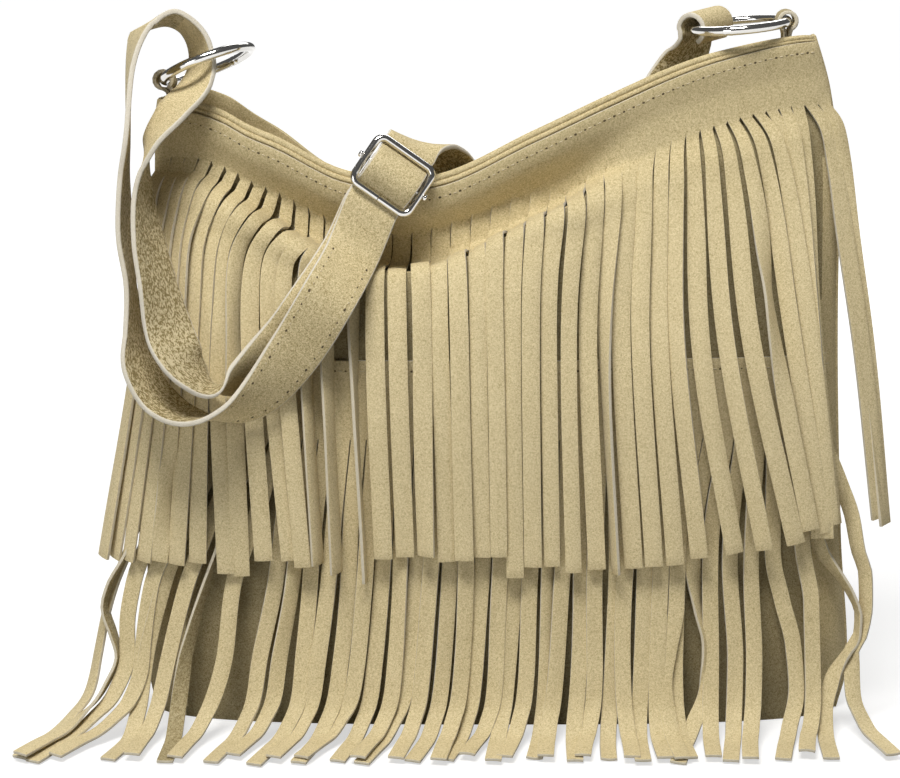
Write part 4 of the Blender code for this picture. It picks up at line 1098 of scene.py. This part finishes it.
def stitchTree():
    group = nodeGroup("stitchRow", [("Pitch", "NodeSocketFloat", 0.005), ("Hole", "NodeSocketFloat", 0.0006),
                                    ("Thread", "NodeSocketFloat", 0.0015), ("Width", "NodeSocketFloat", 0.0004),
                                    ("Seed", "NodeSocketInt", 3), ("Dark", "NodeSocketMaterial", None),
                                    ("Pale", "NodeSocketMaterial", None)])

    def add(kind, settings=None, **sockets):
        return addNode(group, kind, settings, sockets)

    given = add("NodeGroupInput")
    curve = add("GeometryNodeMeshToCurve", Mesh=given.outputs["Geometry"])
    even = add("GeometryNodeResampleCurve", {"mode": "LENGTH"}, Curve=curve.outputs[0],
               Length=given.outputs["Pitch"])
    facing = add("GeometryNodeInputNamedAttribute", {"data_type": "FLOAT_VECTOR"}, Name="facing")
    tangent = add("GeometryNodeInputTangent")
    upright = add("FunctionNodeAlignRotationToVector", {"axis": "Z"}, Vector=facing.outputs[0])
    turned = add("FunctionNodeAlignRotationToVector", {"axis": "X", "pivot_axis": "Z"}, Rotation=upright.outputs[0],
                 Vector=tangent.outputs[0])
    # each hole is a dark flattened dot, painted shade for the hole
    hole = add("GeometryNodeMeshUVSphere", Segments=10, Rings=6, Radius=given.outputs["Hole"])
    flatHole = add("GeometryNodeTransform", Geometry=hole.outputs["Mesh"], Scale=(1.25, 0.9, 0.28))
    shadeHole = add("GeometryNodeSetMaterial", Geometry=flatHole.outputs[0], Material=given.outputs["Dark"])
    thread = add("GeometryNodeMeshCylinder", Vertices=8, Radius=given.outputs["Width"],
                 Depth=given.outputs["Thread"])
    laid = add("GeometryNodeTransform", Geometry=thread.outputs["Mesh"], Rotation=(0, math.radians(90), 0),
               Scale=(1, 1, 0.9))
    palePart = add("GeometryNodeSetMaterial", Geometry=laid.outputs[0], Material=given.outputs["Pale"])
    size = add("FunctionNodeRandomValue", {"data_type": "FLOAT"}, i2=0.75, i3=1.25, Seed=given.outputs["Seed"])
    holes = add("GeometryNodeInstanceOnPoints", Points=even.outputs[0], Instance=shadeHole.outputs[0],
                Rotation=turned.outputs[0], Scale=size.outputs[1])
    half = add("ShaderNodeMath", {"operation": "MULTIPLY"}, i0=given.outputs["Pitch"], i1=0.5)
    along = add("ShaderNodeVectorMath", {"operation": "SCALE"}, i0=tangent.outputs[0], Scale=half.outputs[0])
    moved = add("GeometryNodeSetPosition", Geometry=even.outputs[0], Offset=along.outputs[0])
    threads = add("GeometryNodeInstanceOnPoints", Points=moved.outputs[0], Instance=palePart.outputs[0],
                  Rotation=turned.outputs[0])
    both = add("GeometryNodeJoinGeometry", i0=holes.outputs[0])
    group.links.new(threads.outputs[0], both.inputs[0])
    real = add("GeometryNodeRealizeInstances", Geometry=both.outputs[0])
    smooth = add("GeometryNodeSetShadeSmooth", Geometry=real.outputs[0])
    add("NodeGroupOutput", i0=smooth.outputs[0])
    return group


stitchGroup = stitchTree()


def stitchRow(name, points, faces, kind):
    line = lineMesh(name, points + unit(faces) * stitch[kind + "Stand"], faces)
    made = line.modifiers.new("stitches", "NODES")
    made.node_group = stitchGroup
    values = {"Pitch": stitch[kind + "Pitch"] * mm, "Hole": stitch["holeSize"] * mm,
              "Width": stitch["threadWidth"] / 2 * mm, "Thread": stitch[kind + "Thread"] * mm, "Seed": 7,
              "Dark": holeShade, "Pale": threadPale}
    for item in stitchGroup.interface.items_tree:
        if item.item_type == "SOCKET" and item.in_out == "INPUT" and item.name in values:
            made[item.identifier] = values[item.name]
    return applied(line)


def yokeStitches():
    share = np.linspace(-stitch["endShare"], stitch["endShare"], 260) * upper["span"]
    portion = stitch["yokeBelow"] / curveValue(upper["slitTop"], acrossAt(upper["slitLevel"], share))
    x, z = bandPlace(share, portion)
    points = onWall(x, z, upper["gap"] + upper["thick"])
    return stitchRow("stitchesYoke", points, points - onWall(x, z, 0 * x), "yoke")


def lowerStitches():
    share = np.linspace(-stitch["endShare"], stitch["endShare"], 200) * lowerPiece["span"]
    z = np.full_like(share, lowerPiece["seamHeight"] - stitch["lowerBelow"])
    x = acrossAt(z, share)
    points = onWall(x, z, lowerPiece["gap"] + lowerPiece["thick"])
    return stitchRow("stitchesLower", points, points - onWall(x, z, 0 * x), "lower")


def strapStitches(name, side):
    # both rows run down the front leg, from below the buckle to the bottom of the hanging loop
    start, stop = (int(np.argmin(np.linalg.norm(strapPath - stitch[key], axis=1))) for key in ("strapFrom", "strapTo"))
    rows = slice(start - stitch["strapAhead"], stop)
    points = strapPath[rows] + strapSide[rows] * side * (strapSize["width"] / 2 - stitch["strapInset"]) \
        + strapFace[rows] * strapSize["thick"] / 2
    return stitchRow(name, points, strapFace[rows], "strap")


stitchPieces = [yokeStitches(), lowerStitches(), strapStitches("stitchesStrapA", 1),
                strapStitches("stitchesStrapB", -1)]
print("stitches made")


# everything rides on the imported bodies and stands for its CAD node

def seat(piece, ridesOn, node):
    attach(piece, ridesOn)
    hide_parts(node)


seat(frontBody, "bag", "front_panel")
seat(backBody, "bag", "back_panel")
seat(frontFacing, "bag", "front_facing")
seat(backFacing, "bag", "back_facing")
seat(baseFine, "bag", "base_panel")
seat(fringeUpper, "bag", "upper_fringe")
seat(fringeLower, "bag", "lower_fringe")
seat(leftRing, "left_ring", "left_ring")
seat(rightRing, "right_ring", "right_ring")
seat(leftTab, "bag", "left_tab")
seat(rightTab, "bag", "right_tab")
seat(frameWire, "bag", "buckle_frame")
seat(pinFine, "bag", "buckle_pin")
seat(strapFine, "bag", "strap")
for piece in stitchPieces:
    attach(piece, "bag")


# camera, floor and light

studio = {
    "target": (-0.0196, -0.03, 0.150), "elevation": 13, "distance": 0.95, "focal": 2262, "pixels": 900,
    "lampTarget": (0, 0, 0.15), "sky": 0.1, "floorHalf": 9000, "floorShade": 0.5,
    "nearReach": 0.35, "nearGlow": 0.62, "farReach": 1.3, "farGlow": 0.96,
}
# place, size, watts and colour
lamps = {
    "keyLamp": ((-0.2, -0.68, 1.42), (0.6, 0.4), 20.3, (1.0, 0.985, 0.96)),
    "fillLamp": ((-0.8, -1.1, 0.4), (0.5, 0.5), 2.4, (0.97, 0.985, 1.0)),
    "rimLamp": ((0.2, 1.0, 1.1), (0.9, 0.6), 7.0, (1.0, 1.0, 1.0)),
}


def pointed(name, data, place, target):
    made = linked(name, data)
    made.location = place
    made.rotation_euler = (Vector(target) - Vector(place)).to_track_quat("-Z", "Y").to_euler()
    return made


def addCamera():
    up = math.radians(studio["elevation"])
    target = Vector(studio["target"])
    place = target + Vector((0, -math.cos(up), math.sin(up))) * studio["distance"]
    data = bpy.data.cameras.new("photoView")
    data.sensor_width = 36
    data.lens = data.sensor_width * studio["focal"] / studio["pixels"]
    bpy.context.scene.camera = pointed("photoView", data, place, target)


def addLamp(name, place, size, watts, colour):
    data = bpy.data.lights.new(name, "AREA")
    data.shape = "RECTANGLE"
    data.size, data.size_y = size
    data.energy = watts
    data.color = colour
    pointed(name, data, place, studio["lampTarget"])


def addFloor():
    finish = Finish("paleFloor", roughness=0.7)
    path = finish.tree.nodes.new("ShaderNodeLightPath")
    seen = Val(finish.tree, path.outputs["Is Camera Ray"]) + Val(finish.tree, path.outputs["Is Glossy Ray"])
    seen = (seen + Val(finish.tree, path.outputs["Is Transmission Ray"])).clamped()
    finish.shader.inputs["Base Color"].default_value = (studio["floorShade"],) * 3 + (1,)
    finish.shader.inputs["Specular IOR Level"].default_value = 0.0
    # the floor glows white to the camera further out, and near the bag it keeps the shadow
    radius = finish.node("ShaderNodeVectorMath", out="Value", settings={"operation": "LENGTH"},
                         i0=finish.node("ShaderNodeTexCoord", out="Object"))
    level = finish.node("ShaderNodeMapRange", settings={"interpolation_type": "SMOOTHSTEP"}, i0=radius,
                        i1=studio["nearReach"], i2=studio["farReach"], i3=studio["nearGlow"], i4=studio["farGlow"])
    finish.shader.inputs["Emission Strength"].default_value = 1.0
    finish.to("Emission Color", seen * level)
    half = studio["floorHalf"]
    points = [(-half, -half, 0), (half, -half, 0), (half, half, 0), (-half, half, 0)]
    floor = meshPiece("studioFloor", points, [(0, 1, 2, 3)], [finish.made])


def addWorld():
    world = bpy.data.worlds.new("studio")
    bpy.context.scene.world = world
    world.use_nodes = True
    tree = world.node_tree
    sky = tree.nodes["Background"]
    path = tree.nodes.new("ShaderNodeLightPath")
    seen = Val(tree, path.outputs["Is Camera Ray"]) + Val(tree, path.outputs["Is Transmission Ray"])
    level = seen.clamped() * (1 - studio["sky"]) + studio["sky"]
    tree.links.new(level.socket, sky.inputs["Strength"])
    sky.inputs["Color"].default_value = (1, 1, 1, 1)


addCamera()
for name, values in lamps.items():
    addLamp(name, *values)
addFloor()
addWorld()
bpy.context.scene.view_settings.view_transform = "Standard"

print("done")
